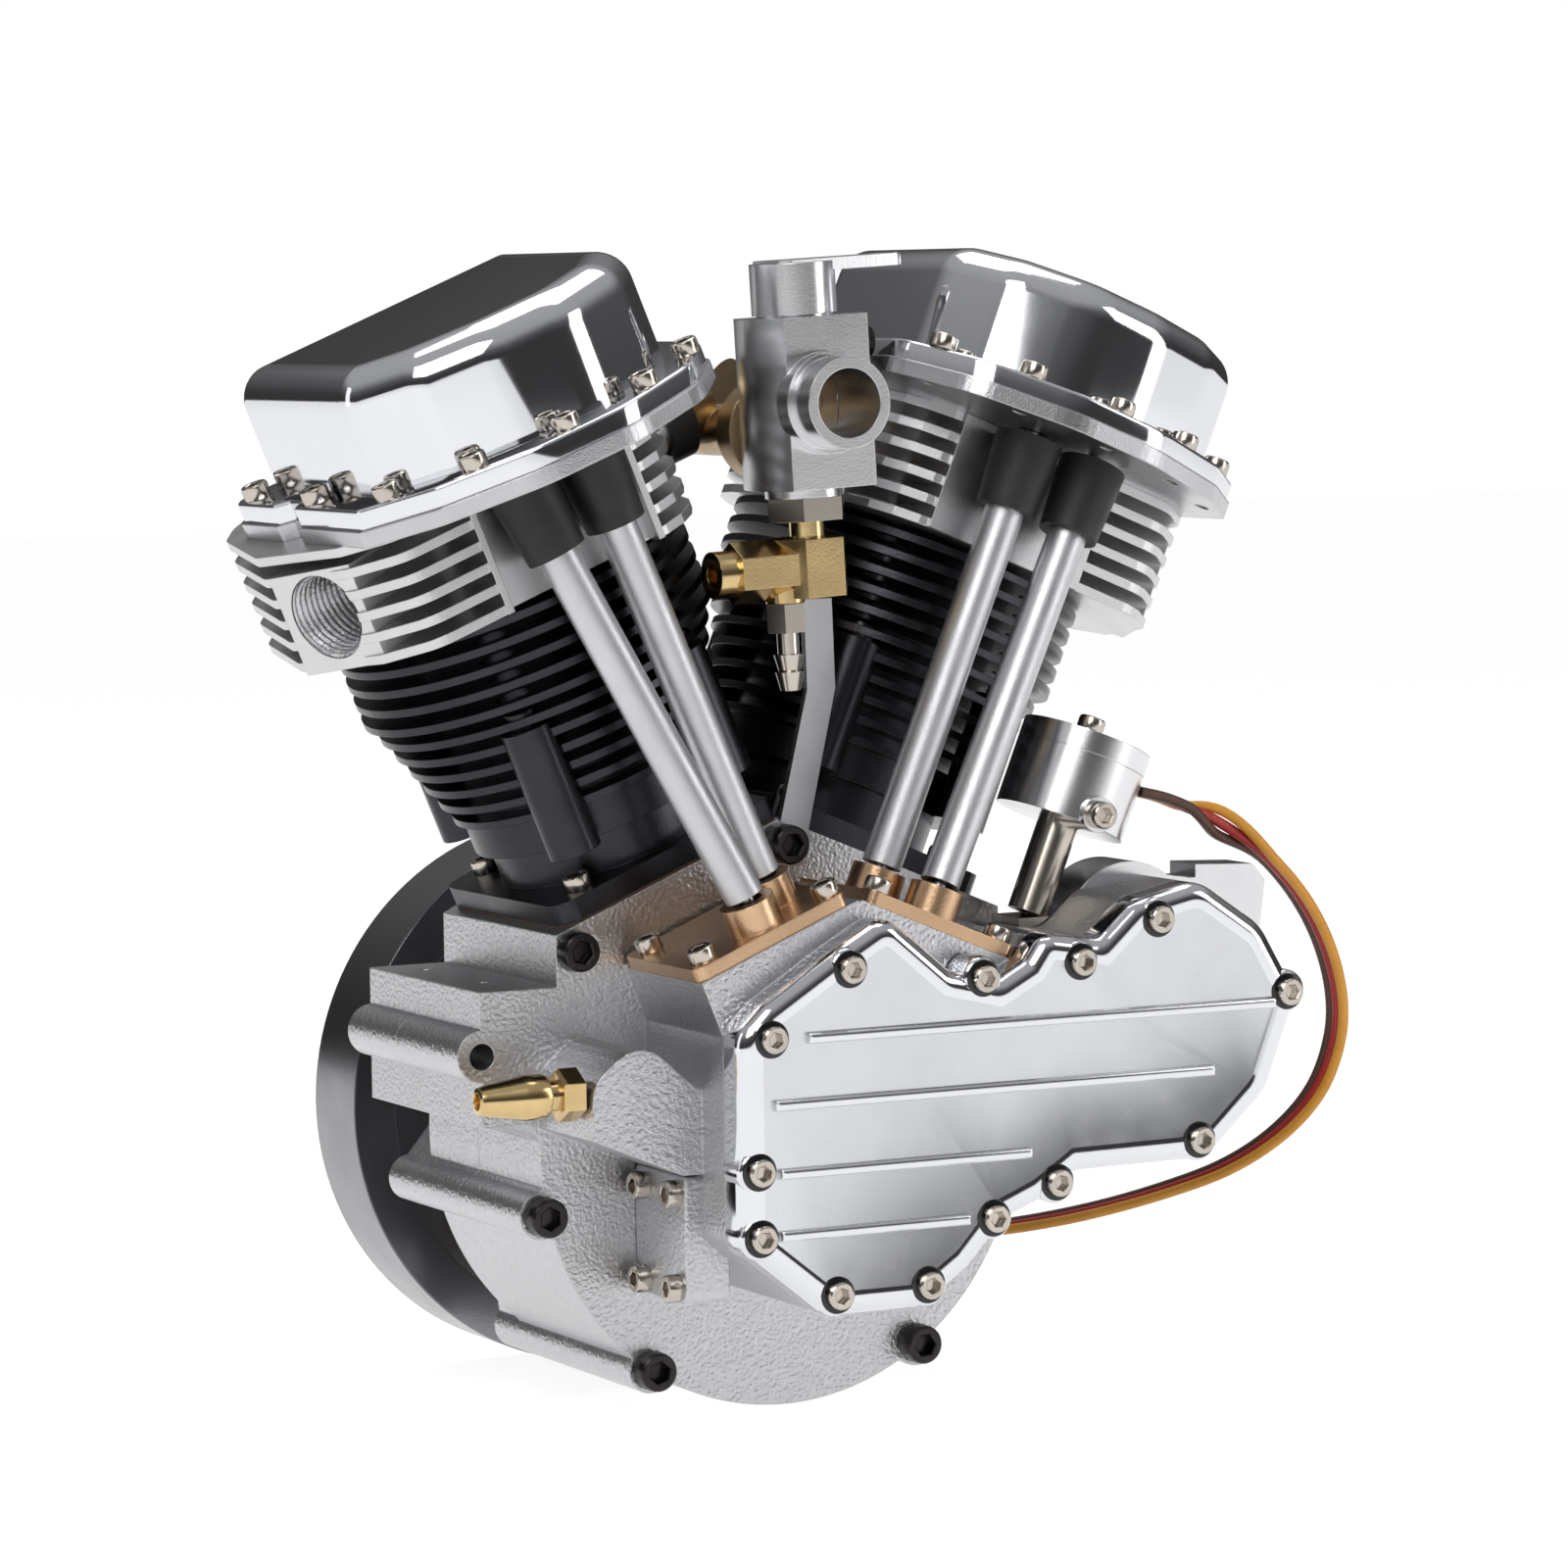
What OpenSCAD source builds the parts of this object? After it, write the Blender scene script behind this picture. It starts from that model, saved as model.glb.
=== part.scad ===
// Small four-stroke v-twin engine, a 45 degree twin with finned cylinders, pushrods and a timing chest.
// The origin lies midway between the two mounting holes in the crankcase lugs.
// X runs across the engine, Y to the flywheel end and Z up.

/* [Crank and pistons] */
// Angle of each cylinder from upright
bank_angle = 22.5; // [22:0.25:23]
// Cylinder bore
bore = 24; // [23:0.1:24.6]
// Piston stroke
stroke = 17.4; // [16:0.2:18]
// Distance between the two eyes of a connecting rod
rod_length = 64; // [63:0.25:64.5]
// Width of each connecting rod along the crankpin
rod_width = 3.6; // [3:0.1:4]
// Diameter of the crankpin
crankpin_d = 5; // [4:0.1:6]
// Diameter of the wrist pins
wrist_pin_d = 5; // [4:0.1:6]
// Diameter of the main shaft
shaft_d = 8; // [7:0.1:9]
// Radius of the crank webs
web_r = 20; // [18.5:0.1:21]
// Thickness of each crank web
web_t = 5; // [4:0.1:5.5]
// Height of the piston crown over its pin
piston_crown = 12.5; // [11.5:0.1:13]
// Length of the piston skirt below its pin
piston_skirt = 7; // [5.5:0.1:8]

/* [Crankcase] */
// Radius of the round belly of the crankcase
case_r = 37; // [35:0.5:39]
// Depth of the front half of the crankcase
case_front = 20.5; // [19:0.25:21]
// Depth of the rear half of the crankcase
case_rear = 16.5; // [15.5:0.25:17.5]
// Distance from the crank to the cylinder seats
seat_h = 41; // [40:0.25:42]
// Half the width of the crankcase body under the cylinders
shoulder_x = 34.2; // [33.6:0.1:35]
// Height of the mounting shelves over the crank
shelf_z = 23.2; // [22.4:0.1:24]
// Distance from the centre to the outer edge of a mounting shelf
shelf_x = 45.6; // [44.8:0.1:46.4]
// Distance from the centre to each mounting hole
lug_hole_x = 45.5; // [45:0.1:46]
// Height of the mounting holes over the crank
lug_hole_z = 14.5; // [14:0.1:15]
// Diameter of the mounting holes
lug_hole_d = 3.6; // [3.2:0.1:4]
// Wall round the mounting holes
lug_wall = 1.8; // [1.4:0.1:2.2]

/* [Timing chest] */
// Depth of the timing chest in front of the crankcase
chest_depth = 23.5; // [23:0.1:24.5]
// Thickness of the walls of the timing chest
chest_wall = 2.6; // [2.2:0.1:3]
// Thickness of the timing cover
cover_t = 5; // [4:0.1:6]
// Distance from the crank to the seats of the tappet plates
tappet_seat = 32.4; // [32:0.1:32.8]
// Thickness of the tappet plates
tappet_plate_t = 1.9; // [1.5:0.1:2.3]
// Module of the gear teeth
gear_module = 0.8; // [0.79:0.005:0.81]
// Width of the gears
gear_w = 2.8; // [2.4:0.1:3]

/* [Cylinders] */
// Gap between the piston crown at the top of its stroke and the deck
deck_gap = 0.4; // [0.3:0.05:0.6]
// Half the width of the cylinder base flange
base_half = 18.6; // [18.2:0.1:19]
// Thickness of the base flange
base_t = 3; // [2.6:0.1:3.4]
// Thickness of the base gasket
gasket_t = 0.4; // [0.3:0.05:0.6]
// Outer radius of the barrel
barrel_r = 15.9; // [15:0.1:16.5]
// Radius of the large cooling fins
fin_r = 25.6; // [25:0.1:26]
// Radius of the first of the small cooling fins
small_fin_r = 24.2; // [23.6:0.1:24.6]
// Loss of radius from one small fin to the next
small_fin_step = 1.03; // [0.9:0.01:1.1]
// Distance from one cylinder fin to the next
fin_pitch = 2.85; // [2.7:0.01:2.9]
// Thickness of the cylinder fins
fin_t = 1.1; // [0.9:0.05:1.3]

/* [Heads and rocker boxes] */
// Height of the cylinder heads
head_h = 16.8; // [16.4:0.1:17.2]
// Radius of the head fins
head_r = 27.5; // [27:0.1:28]
// Thickness of the head fins
head_fin_t = 1.3; // [1.1:0.05:1.5]
// Diameter of the exhaust ports
port_d = 12; // [10.6:0.1:12.4]
// Thickness of the rocker plates
rocker_plate_t = 2.3; // [2:0.1:2.6]
// Thickness of the flange of a rocker cover
cover_flange_t = 2.8; // [2.4:0.1:3.2]
// Height of the rocker covers over their flange
rocker_cover_h = 16.6; // [15:0.1:18]
// Thickness of the walls of a rocker cover
rocker_cover_wall = 1.6; // [1.2:0.1:2]
// Diameter of the pushrod tubes
tube_d = 5.5; // [5:0.1:6]
// Diameter of the pushrods
pushrod_d = 2.2; // [1.8:0.1:2.6]

/* [Flywheel] */
// Radius of the flywheel
flywheel_r = 39.5; // [38:0.5:41]
// Width of the flywheel rim
flywheel_w = 14; // [12:0.5:16]
// Gap between the crankcase and the flywheel rim
flywheel_gap = 20.8; // [20:0.1:22]
// Thickness of the flywheel web
flywheel_web = 5; // [4:0.1:6]
// Thickness of the flywheel rim
flywheel_rim = 6.5; // [5:0.1:8]

/* [Fuel and spark] */
// Width of the carburettor body
carb_w = 14.4; // [13.8:0.1:15]
// Height of the carburettor body
carb_h = 23.4; // [23:0.1:24]
// Depth of the carburettor body
carb_depth = 15; // [14.4:0.1:15.6]
// Outer diameter of the carburettor inlet
inlet_d = 12.4; // [12:0.1:13]
// Bore of the carburettor
inlet_bore = 9.4; // [8.6:0.1:9.8]
// Diameter of the throttle barrel
barrel_d = 11.7; // [11.5:0.1:11.9]
// Diameter of the ignition housing
ignition_d = 18.4; // [18:0.1:19]
// Height of the ignition housing
ignition_h = 12.5; // [12:0.1:13.5]
// Diameter of the wires
wire_d = 1.5; // [1.5:0.05:1.6]

/* [Screws] */
// Shank diameter of the black crankcase screws
large_screw_d = 3; // [2.8:0.05:3.1]
// Head diameter of the black crankcase screws
large_head_d = 5.5; // [5:0.1:5.8]
// Shank diameter of the small silver screws
small_screw_d = 2; // [1.8:0.05:2.1]
// Head diameter of the small silver screws
small_head_d = 3.8; // [3.4:0.1:4]

/* [Hidden] */
$fn = 64;

// Overrun of every cut
over = 1;
// Clearance of a shaft that runs in its bore
run_gap = 0.05;
// Gap between surfaces that pass or seat without a fit
seat_gap = 0.3;
// Least gap between a screw and its hole
screw_gap = 0.05;

// Crank, rods and pistons at rest, with the crankpin straight up
crank_r = stroke / 2;
deck_h = crank_r + rod_length + piston_crown + deck_gap;
pin_w = crank_r * cos(bank_angle);
pin_out = -crank_r * sin(bank_angle);
wrist_w = pin_w + sqrt(rod_length * rod_length - pin_out * pin_out);
rod_tilt = asin(pin_out / rod_length);
rod_pitch = rod_width / 2 + run_gap;
web_y = rod_width + 4 * run_gap;
web_clear = 2;
eye_wall = 2.4;
pin_wall = 1.6;
piston_gap = 0.05;
piston_r = bore / 2 - piston_gap;
ring_w = 1;
ring_depth = 0.5;
ring_count = 3;
piston_wall = 2;
pin_sink = 1;
piston_inner_r = piston_r - piston_wall;
crown_t = 3;
cavity_r = web_r + web_clear;
cavity_y = web_y + web_t + run_gap * 4;
pin_stub = 0.15;
web_cut_share = 1 / 2.6;

// Timing gears
pinion_teeth = 12;
cam_teeth = 24;
idler_teeth = 18;
accessory_teeth = 24;
pinion_r = gear_module * pinion_teeth / 2;
cam_z = gear_module * (pinion_teeth + cam_teeth) / 2 + run_gap;
idler_dist = gear_module * (cam_teeth + idler_teeth) / 2 + run_gap;
between_dist = gear_module * idler_teeth + run_gap;
accessory_dist = gear_module * (idler_teeth + accessory_teeth) / 2 + run_gap;
accessory_turn = 12;
inner_idler_at = [idler_dist, cam_z];
outer_idler_at = inner_idler_at + [between_dist, 0];
accessory_at = outer_idler_at + accessory_dist * [cos(accessory_turn), sin(accessory_turn)];
gear_clear = 0.5;

// Stack of planes along the engine, front to back
chest_y = -case_front - chest_depth;
cover_y = chest_y - cover_t;
gear_back = chest_y + gear_w + gear_clear;
flywheel_y = case_rear + flywheel_gap;

// Stack of planes along a cylinder
base_w = seat_h + gasket_t;
plate_w = deck_h + head_h;
flange_w = plate_w + rocker_plate_t;
rocker_w = flange_w + cover_flange_t;
rocker_top = rocker_w + rocker_cover_h;
fin_count = 11;
fin_drop = 1;
foot_h = 5;
foot_wall = 2;
pocket_h = 2.6;
large_fins = 5;

// Tappets as distance outward from the cylinder axis and place along the engine
front_tappet = [0, -38.8];
rear_tappet = [-6, -32.4];
front_top = [5.4, -31.5];
rear_top = [-5.4, -31.5];
collar_rise = 4;
tube_lift = 0.6;
tube_foot_w = tappet_seat + tappet_plate_t + collar_rise + tube_lift;
boot_h = 11.5;
boot_wall = 1.7;
boot_flare = 0.6;
boot_lip = 1;
tube_wall = 0.8;
boot_d = tube_d + 2 * boot_wall;
tappet_d = 4.4;
collar_d = 7.6;

// Unit vector and rounded corner helpers
function unit(v) = v / norm(v);
function turn_between(a, b) = let (d = b - a) d > 180 ? d - 360 : d < -180 ? d + 360 : d;
function corner(a, p, b, r, steps) =
    let (u = unit(a - p), v = unit(b - p), half = acos(u * v) / 2, t = r / tan(half),
         c = p + unit(u + v) * r / sin(half), s = p + u * t - c, e = p + v * t - c,
         a0 = atan2(s.y, s.x), sweep = turn_between(a0, atan2(e.y, e.x)))
    [for (i = [0:steps]) c + r * [cos(a0 + sweep * i / steps), sin(a0 + sweep * i / steps)]];
// Outline whose points are [x, y, corner radius]
function rounded(pts, steps = 5) =
    [for (i = [0:len(pts) - 1])
        let (n = len(pts), p = pts[i], a = pts[(i + n - 1) % n], b = pts[(i + 1) % n])
        each p[2] > 0 ? corner([a[0], a[1]], [p[0], p[1]], [b[0], b[1]], p[2], steps) : [[p[0], p[1]]]];
// Outline moved inward by a distance, for outlines listed clockwise
function inset_point(a, p, b, d) =
    let (u = unit(p - a), v = unit(b - p), n = unit([u.y, -u.x] + [v.y, -v.x]),
         k = n * [u.y, -u.x])
    p + n * d / k;
function inset(pts, d) =
    [for (i = [0:len(pts) - 1])
        let (n = len(pts), p = pts[i], a = pts[(i + n - 1) % n], b = pts[(i + 1) % n],
             q = inset_point([a[0], a[1]], [p[0], p[1]], [b[0], b[1]], d))
        [q.x, q.y, max(p[2] - d, 0)]];

// Places a child in the frame of the crank
module on_crank() translate([0, 0, -lug_hole_z]) children();
// Places a child on a bank, with X outward, Y along the engine and Z along the cylinder
module on_bank(side) on_crank() rotate([0, side * bank_angle, 0]) mirror([side < 0 ? 1 : 0, 0, 0]) children();
// Cylinders stand over their own rod
module on_cylinder(side) on_bank(side) translate([0, side * rod_pitch, 0]) children();
// Extrudes an outline drawn in X and Z from y0 to y1
module slab(y0, y1) translate([0, y1, 0]) rotate([90, 0, 0]) linear_extrude(y1 - y0) children();
// Round bar along Y
module bar(r, y0, y1) translate([0, y1, 0]) rotate([90, 0, 0]) cylinder(h = y1 - y0, r = r);
// Ring along Y
module tube_y(r, hole, y0, y1) difference() {
    bar(r, y0, y1);
    bar(hole, y0 - over, y1 + over);
}

// Cap screw with its seat at Z 0 and its shank down
module cap_screw(d, head_d, length) {
    head_h = d;
    socket_d = head_d * 0.5;
    difference() {
        union() {
            cylinder(h = head_h, d = head_d, $fn = 32);
            translate([0, 0, -length]) cylinder(h = length + head_h / 2, d = d, $fn = 24);
        }
        translate([0, 0, head_h * 0.45]) cylinder(h = head_h, d = socket_d / cos(30), $fn = 6);
    }
}
module screw_hole(d, length) translate([0, 0, -length]) cylinder(h = length + over, r = d / 2 + screw_gap,
    $fn = 24);
// Turns a screw so that its head faces the front
module facing_front() rotate([90, 0, 0]) children();

// Crankcase outline, right half, as distances from the crank
flank_share = 0.96;
lobe_wall = 0.5;
lobe_r = large_head_d / 2 + lobe_wall;
top_screw_drop = 0.1;
// Places of the other case screws, as shares of the radius of the belly
case_screw_shares = [[-0.85405405, 0.75675676], [-1, -0.21081081], [-0.56756757, -0.81891892], [0.54864865,
    -0.81891892]];
case_screws = [[0, seat_h - top_screw_drop], for (p = case_screw_shares) case_r * p];
case_screw_bite = 8;
case_screw_length = case_front + case_screw_bite;
function case_half() = [
    [shoulder_x, shoulder_z()], [shoulder_x, shelf_z], [shelf_x, shelf_z], [shelf_x, lug_hole_z],
    [shelf_x, lug_foot_z], [case_r + lug_wall, lug_foot_z], [case_r * flank_share, 0],
        [case_r * flank_share * flank_share, -case_r / 4]];
function shoulder_z() = (seat_h - shoulder_x * sin(bank_angle)) / cos(bank_angle);
lug_drop = 9.6;
lug_foot_z = lug_hole_z - lug_drop;
lug_r = lug_hole_d / 2 + lug_wall;
shelf_hole = [40.2, 9.5];
shelf_hole_depth = 6;

// Webs that blend the lower screw bosses into the belly
web_share = 0.9;
web_spread = 2.3;
web_root = 5;
lower_screws = [case_screws[2], case_screws[3], case_screws[4], [-case_screws[2][0], case_screws[2][1]]];
module case_body(y0, y1, lobe_y1) {
    peak = seat_h / cos(bank_angle);
    half = case_half();
    n = len(half) - 1;
    slab(y0, y1) polygon([[0, peak], for (p = half) p, for (i = [n:-1:0]) [-half[i][0], half[i][1]]]);
    bar(case_r, y0, y1);
    for (p = lower_screws) {
        u = unit(p);
        v = [-u.y, u.x];
        slab(y0, lobe_y1) polygon([p + v * lobe_r * web_share, p - v * lobe_r * web_share,
            u * (case_r - web_root) - v * lobe_r * web_spread, u * (case_r - web_root)
                + v * lobe_r * web_spread]);
        translate([p[0], 0, p[1]]) bar(lobe_r, y0, lobe_y1);
    }
    for (s = [-1, 1]) translate([s * lug_hole_x, 0, lug_hole_z]) bar(lug_r, y0, y1);
}

module case_openings(y0, y1) {
    bar(cavity_r, max(y0, -cavity_y), min(y1, cavity_y));
    for (p = case_screws) translate([p[0], 0, p[1]]) bar(large_screw_d / 2 + screw_gap, y0 - over, y1 + over);
    for (s = [-1, 1]) translate([s * lug_hole_x, 0, lug_hole_z]) bar(lug_hole_d / 2, y0 - over, y1 + over);
}

// Bores for the cylinder spigots and base screws, cut into both halves
spigot_wall = 1.6;
spigot_r = bore / 2 + spigot_wall;
spigot_h = 6;
rod_window = [11.6, 6];
base_screw = [12.8, 15];
base_screw_bite = 4;
base_screw_length = base_t + base_screw_bite;
module cylinder_seats() {
    for (s = [-1, 1]) {
        rotate([0, s * bank_angle, 0]) mirror([s < 0 ? 1 : 0, 0, 0]) translate([0, s * rod_pitch, 0]) {
            translate([0, 0, seat_h - spigot_h - seat_gap]) cylinder(h = spigot_h + over,
                r = spigot_r + run_gap);
            translate([-rod_window.x, -rod_window.y, cavity_r * 0.6])
                cube([2 * rod_window.x, 2 * rod_window.y, seat_h - spigot_h - cavity_r * 0.6]);
            for (x = [-1, 1], y = [-1, 1])
                translate([x * base_screw.x, y * base_screw.y, base_w + base_t])
                    screw_hole(small_screw_d, base_screw_length + over);
        }
    }
}
// Room over the seats, so that the belly never reaches the base flanges
module seat_room() for (s = [-1, 1]) rotate([0, s * bank_angle, 0]) mirror([s < 0 ? 1 : 0, 0, 0])
    translate([base_in, -case_front - over, seat_h + run_gap / 2])
        cube([base_half - base_in, case_front + case_rear + 2 * over, seat_h]);
module shelf_holes(side_y) for (s = [-1, 1])
    translate([s * shelf_hole.x, side_y * shelf_hole.y, shelf_z - shelf_hole_depth])
        cylinder(h = shelf_hole_depth + over, d = small_screw_d, $fn = 24);

// Timing chest and cover outline, listed clockwise from the lower left
chest_reach = 50;
chest_shares = [
    [-0.16, -0.404, 0.08], [-0.42, -0.196, 0.08], [-0.42, 0.372, 0.1], [-0.34, 0.448, 0.06], [-0.132, 0.576,
        0.08], [0.032, 0.668, 0.08],
    [0.232, 0.5, 0.12], [0.368, 0.468, 0.1], [0.46, 0.516, 0.05], [0.512, 0.588, 0.06], [0.688, 0.56, 0.08],
        [0.8, 0.66, 0.1],
    [1.01, 0.704, 0.12], [1.21, 0.568, 0.16], [1.324, 0.372, 0.12], [1.22, 0.104, 0.16], [1.03, -0.068,
        0.12], [0.61, -0.072, 0.08],
    [0.496, -0.144, 0.08], [0.384, -0.188, 0.08], [0.272, -0.308, 0.12], [0.128, -0.404, 0.08]];
chest_points = chest_reach * chest_shares;
cover_screw_shares = [[-0.088, 0.528], [-0.326, 0.356], [-0.368, 0.004], [-0.364, -0.174], [-0.138, -0.344],
    [0.138, -0.34],
                [0.342, -0.176], [0.54, -0.094], [0.992, -0.012], [1.28, 0.38], [0.868, 0.606], [0.622,
                    0.504], [0.318, 0.478]];
cover_screws = chest_reach * cover_screw_shares;
cover_screw_wall = 1.1;
cover_screw_r = small_head_d / 2 + cover_screw_wall;
cover_screw_length = 8;
wing_x = 31;
wing_depth = 12;
rib_shares = [[-0.22, 1.24, 0.352], [-0.32, 1.04, 0.178], [-0.308, 0.46, -0.006], [-0.308, 0.268, -0.172]];
ribs = chest_reach * rib_shares;
rib_w = 1.2;
rib_h = 0.7;

module chest_outline() polygon(rounded(chest_points));
module chest_walls() {
    intersection() {
        slab(chest_y, -case_front + over) chest_outline();
        union() {
            // The body of the chest is cut back to the seats of the tappet plates
            translate([-case_r, chest_y, -case_r]) cube([case_r + wing_x, chest_depth + over, 2 * case_r]);
            translate([wing_x - over, chest_y, -case_r]) cube([case_r + wing_x, wing_depth, 2 * case_r]);
        }
    }
    // Blocks that carry the tappet plates
    for (s = [-1, 1]) rotate([0, s * bank_angle, 0]) mirror([s < 0 ? 1 : 0, 0, 0])
        translate([tappet_in, chest_y + seat_gap, tappet_seat - tappet_block])
            cube([tappet_out - tappet_in, chest_depth, tappet_block + seat_gap]);
}
tappet_in = -13.2;
tappet_out = 12.4;
tappet_block = 13;
plate_room = 10;
plate_inset = 1;
plate_in = 1.4;
plate_corner = 1;
plate_front_corner = 1.6;
tappet_plate_y = [chest_y + 2 * seat_gap, -case_front - plate_inset];
tappet_screws = [[9.8, -41], [9.8, -25], [-10.2, -41.2]];

// Room for the gears inside the chest
cam_room = 1;
cam_room_r = gear_module * (cam_teeth / 2 + 1) + cam_room;
room_wall = 1;
pinion_room = 2;
module chest_room() {
    y0 = chest_y - over;
    y1 = -case_front - room_wall;
    translate([0, 0, cam_z]) bar(cam_room_r, y0, y1);
    bar(gear_module * (pinion_teeth / 2 + 1) + pinion_room, y0, y1);
    for (p = [inner_idler_at, outer_idler_at]) translate([p.x, 0, p.y]) {
        bar(gear_module * (idler_teeth / 2 + 1) + gear_clear, y0, gear_back + gear_clear);
        bar(stud_d / 2 + run_gap, y0, gear_back + stud_l + gear_clear);
    }
    translate([accessory_at.x, 0, accessory_at.y]) {
        bar(gear_module * (accessory_teeth / 2 + 1) + gear_clear, y0, gear_back + gear_clear);
        bar(stud_d / 2 + run_gap, y0, gear_back + stud_l + gear_clear);
    }
}
stud_l = 4.5;
module chest_screw_holes() for (p = cover_screws) translate([p[0], chest_y, p[1]])
    bar(small_screw_d / 2 + screw_gap, -over, cover_screw_length);

// Boss for the breather nipple on the left of the crankcase
nipple_at = [-37.9, -33.5, 10.4];
nipple_boss_r = 5.4;
boss_depth = 17;
hump_reach = 40;
hump_shares = [[-0.93, 0.11, 0], [-0.93, 0.3, 0.12], [-0.75, 0.44, 0.125], [-0.55, 0.2625, 0.1], [-0.4, 0.2,
    0], [-0.4, -0.03, 0], [-0.6, -0.03, 0]];
hump_points = hump_reach * hump_shares;

// Bearings
bearing_od = 19;
bearing_w = 6;
race_t = 2;
race_sink = 1;
front_bearing_in = 2.5;
rear_bearing_out = 4;
front_bearing_y = -case_front + front_bearing_in;
rear_bearing_y = case_rear + rear_bearing_out;
nose_r = 10;
nose_l = 14;
shaft_room = 1;
cam_end = 5;
cam_end_gap = 1;
breather_bore_l = 10;
breather_bore_d = 3;
plate_screw_hole = 4;

module crankcase_front() color("silver") on_crank() difference() {
    union() {
        case_body(-case_front, 0, 0);
        chest_walls();
        slab(-case_front - boss_depth, -case_front + over) polygon(rounded(hump_points));
    }
    case_openings(-case_front, over);
    cylinder_seats();
    seat_room();
    shelf_holes(-1);
    chest_room();
    chest_screw_holes();
    bar(bearing_od / 2, front_bearing_y, over);
    bar(shaft_d / 2 + shaft_room, -case_front - over * 3, over);
    for (p = [front_tappet, rear_tappet], s = [-1, 1])
        rotate([0, s * bank_angle, 0]) mirror([s < 0 ? 1 : 0, 0, 0]) {
            translate([p[0], p[1], tappet_seat - tappet_block * 1.2])
                cylinder(h = tappet_block * 1.2 + over, r = tappet_d / 2 + run_gap);
        }
    for (s = [-1, 1]) rotate([0, s * bank_angle, 0]) mirror([s < 0 ? 1 : 0, 0, 0])
        translate([tappet_in - over, chest_y - over, tappet_seat])
            cube([tappet_out + seat_gap - tappet_in + over, chest_depth + over - seat_gap, plate_room]);
    for (s = [-1, 1], p = tappet_screws)
        rotate([0, s * bank_angle, 0]) mirror([s < 0 ? 1 : 0, 0, 0])
            translate([p[0], p[1], tappet_seat + tappet_plate_t]) screw_hole(small_screw_d,
                tappet_plate_t + plate_screw_hole);
    for (p = side_screws) translate([side_x - over, p[0], p[1]]) rotate([0, 90, 0])
        cylinder(h = side_screw_l + over, r = small_screw_d / 2 + screw_gap, $fn = 24);
    translate(nipple_at) rotate([0, 90, 0]) cylinder(h = breather_bore_l, d = breather_bore_d, center = true);
    translate([0, 0, cam_z]) bar(stud_d / 2 + run_gap, -case_front - over,
        -case_front + cam_end + cam_end_gap);
}
stud_d = 4;

module crankcase_rear() color("silver") on_crank() difference() {
    union() {
        case_body(0, case_rear, case_rear + nose_l / 2);
        for (s = [-1, 1]) rotate([0, s * bank_angle, 0]) mirror([s < 0 ? 1 : 0, 0, 0])
            translate([base_in, case_rear / 2, seat_h - deck_t - run_gap])
                cube([base_half - base_in, s * rod_pitch + base_half - case_rear / 2 + deck_lip, deck_t]);
        translate([0, case_rear - over, 0]) rotate([-90, 0, 0]) cylinder(h = nose_l + over,
            r1 = nose_r * 1.2, r2 = nose_r);
    }
    case_openings(-over, case_rear);
    cylinder_seats();
    seat_room();
    shelf_holes(1);
    bar(shaft_d / 2 + shaft_room, over, case_rear + nose_l + over);
    bar(bearing_od / 2, -over, rear_bearing_y + bearing_w);
}

module black_screws() color("dimgray") {
    on_crank() for (i = [0:4], p = [case_screws[i]]) translate([p[0], -case_front - (i == 0 ? strip_t : 0),
        p[1]]) facing_front()
        cap_screw(large_screw_d, large_head_d, case_screw_length);
    for (s = [-1, 1]) on_cylinder(s) for (x = [-1, 1], y = [-1, 1])
        translate([x * tunnel.x, y * tunnel.y, tunnel_top]) cap_screw(tunnel_screw_d, tunnel_head_d,
            tunnel_screw);
}
// Boss with a long screw on each corner of a cylinder
tunnel = [12.4, 17.6];
tunnel_r = 3.7;
tunnel_drop = 17;
tunnel_l = 18.6;
tunnel_top = deck_h - tunnel_drop;
tunnel_foot = tunnel_top - tunnel_l;
tunnel_screw = 10;
tunnel_screw_d = 2.6;
tunnel_head_d = 4.6;

module silver_screws() color("gainsboro") {
    on_crank() for (p = cover_screws) translate([p[0], cover_y + cover_sink, p[1]]) facing_front()
        cap_screw(small_screw_d, small_head_d, cover_screw_length);
    on_crank() for (p = side_screws) translate([side_x - side_t, p[0], p[1]]) rotate([0, -90, 0])
        cap_screw(small_screw_d, small_head_d, side_t + side_screw_bite);
    for (s = [-1, 1]) on_cylinder(s) for (x = [-1, 1], y = [-1, 1])
        translate([x * base_screw.x, y * base_screw.y, base_w + base_t])
            cap_screw(small_screw_d, small_head_d, base_screw_length);
    for (s = [-1, 1]) on_bank(s) {
        for (p = tappet_screws) translate([p[0], p[1], tappet_seat + tappet_plate_t])
            cap_screw(small_screw_d, small_head_d, tappet_plate_t + plate_screw_bite);
        for (p = rocker_screws) translate([p[0], p[1], rocker_w])
            cap_screw(small_screw_d, small_head_d, cover_flange_t + rocker_plate_t);
    }
    on_ignition() {
        translate([0, -ignition_d / 2 - clamp_boss, clamp_z]) facing_front()
            cap_screw(small_screw_d, small_head_d, clamp_screw_l);
        translate([cap_screw_at.x, cap_screw_at.y, ignition_foot + ignition_h])
            cap_screw(small_screw_d, small_head_d, cap_screw_l);
    }
}
cover_sink = 0.6;
plate_screw_bite = 3.5;
side_screw_bite = 3;
clamp_screw_l = 3;
cap_screw_l = 4;
cap_screw_at = [-3.2, -5.4];
head_ring = 0.4;
cover_web = 2;
cover_rim = 3.4;

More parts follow.
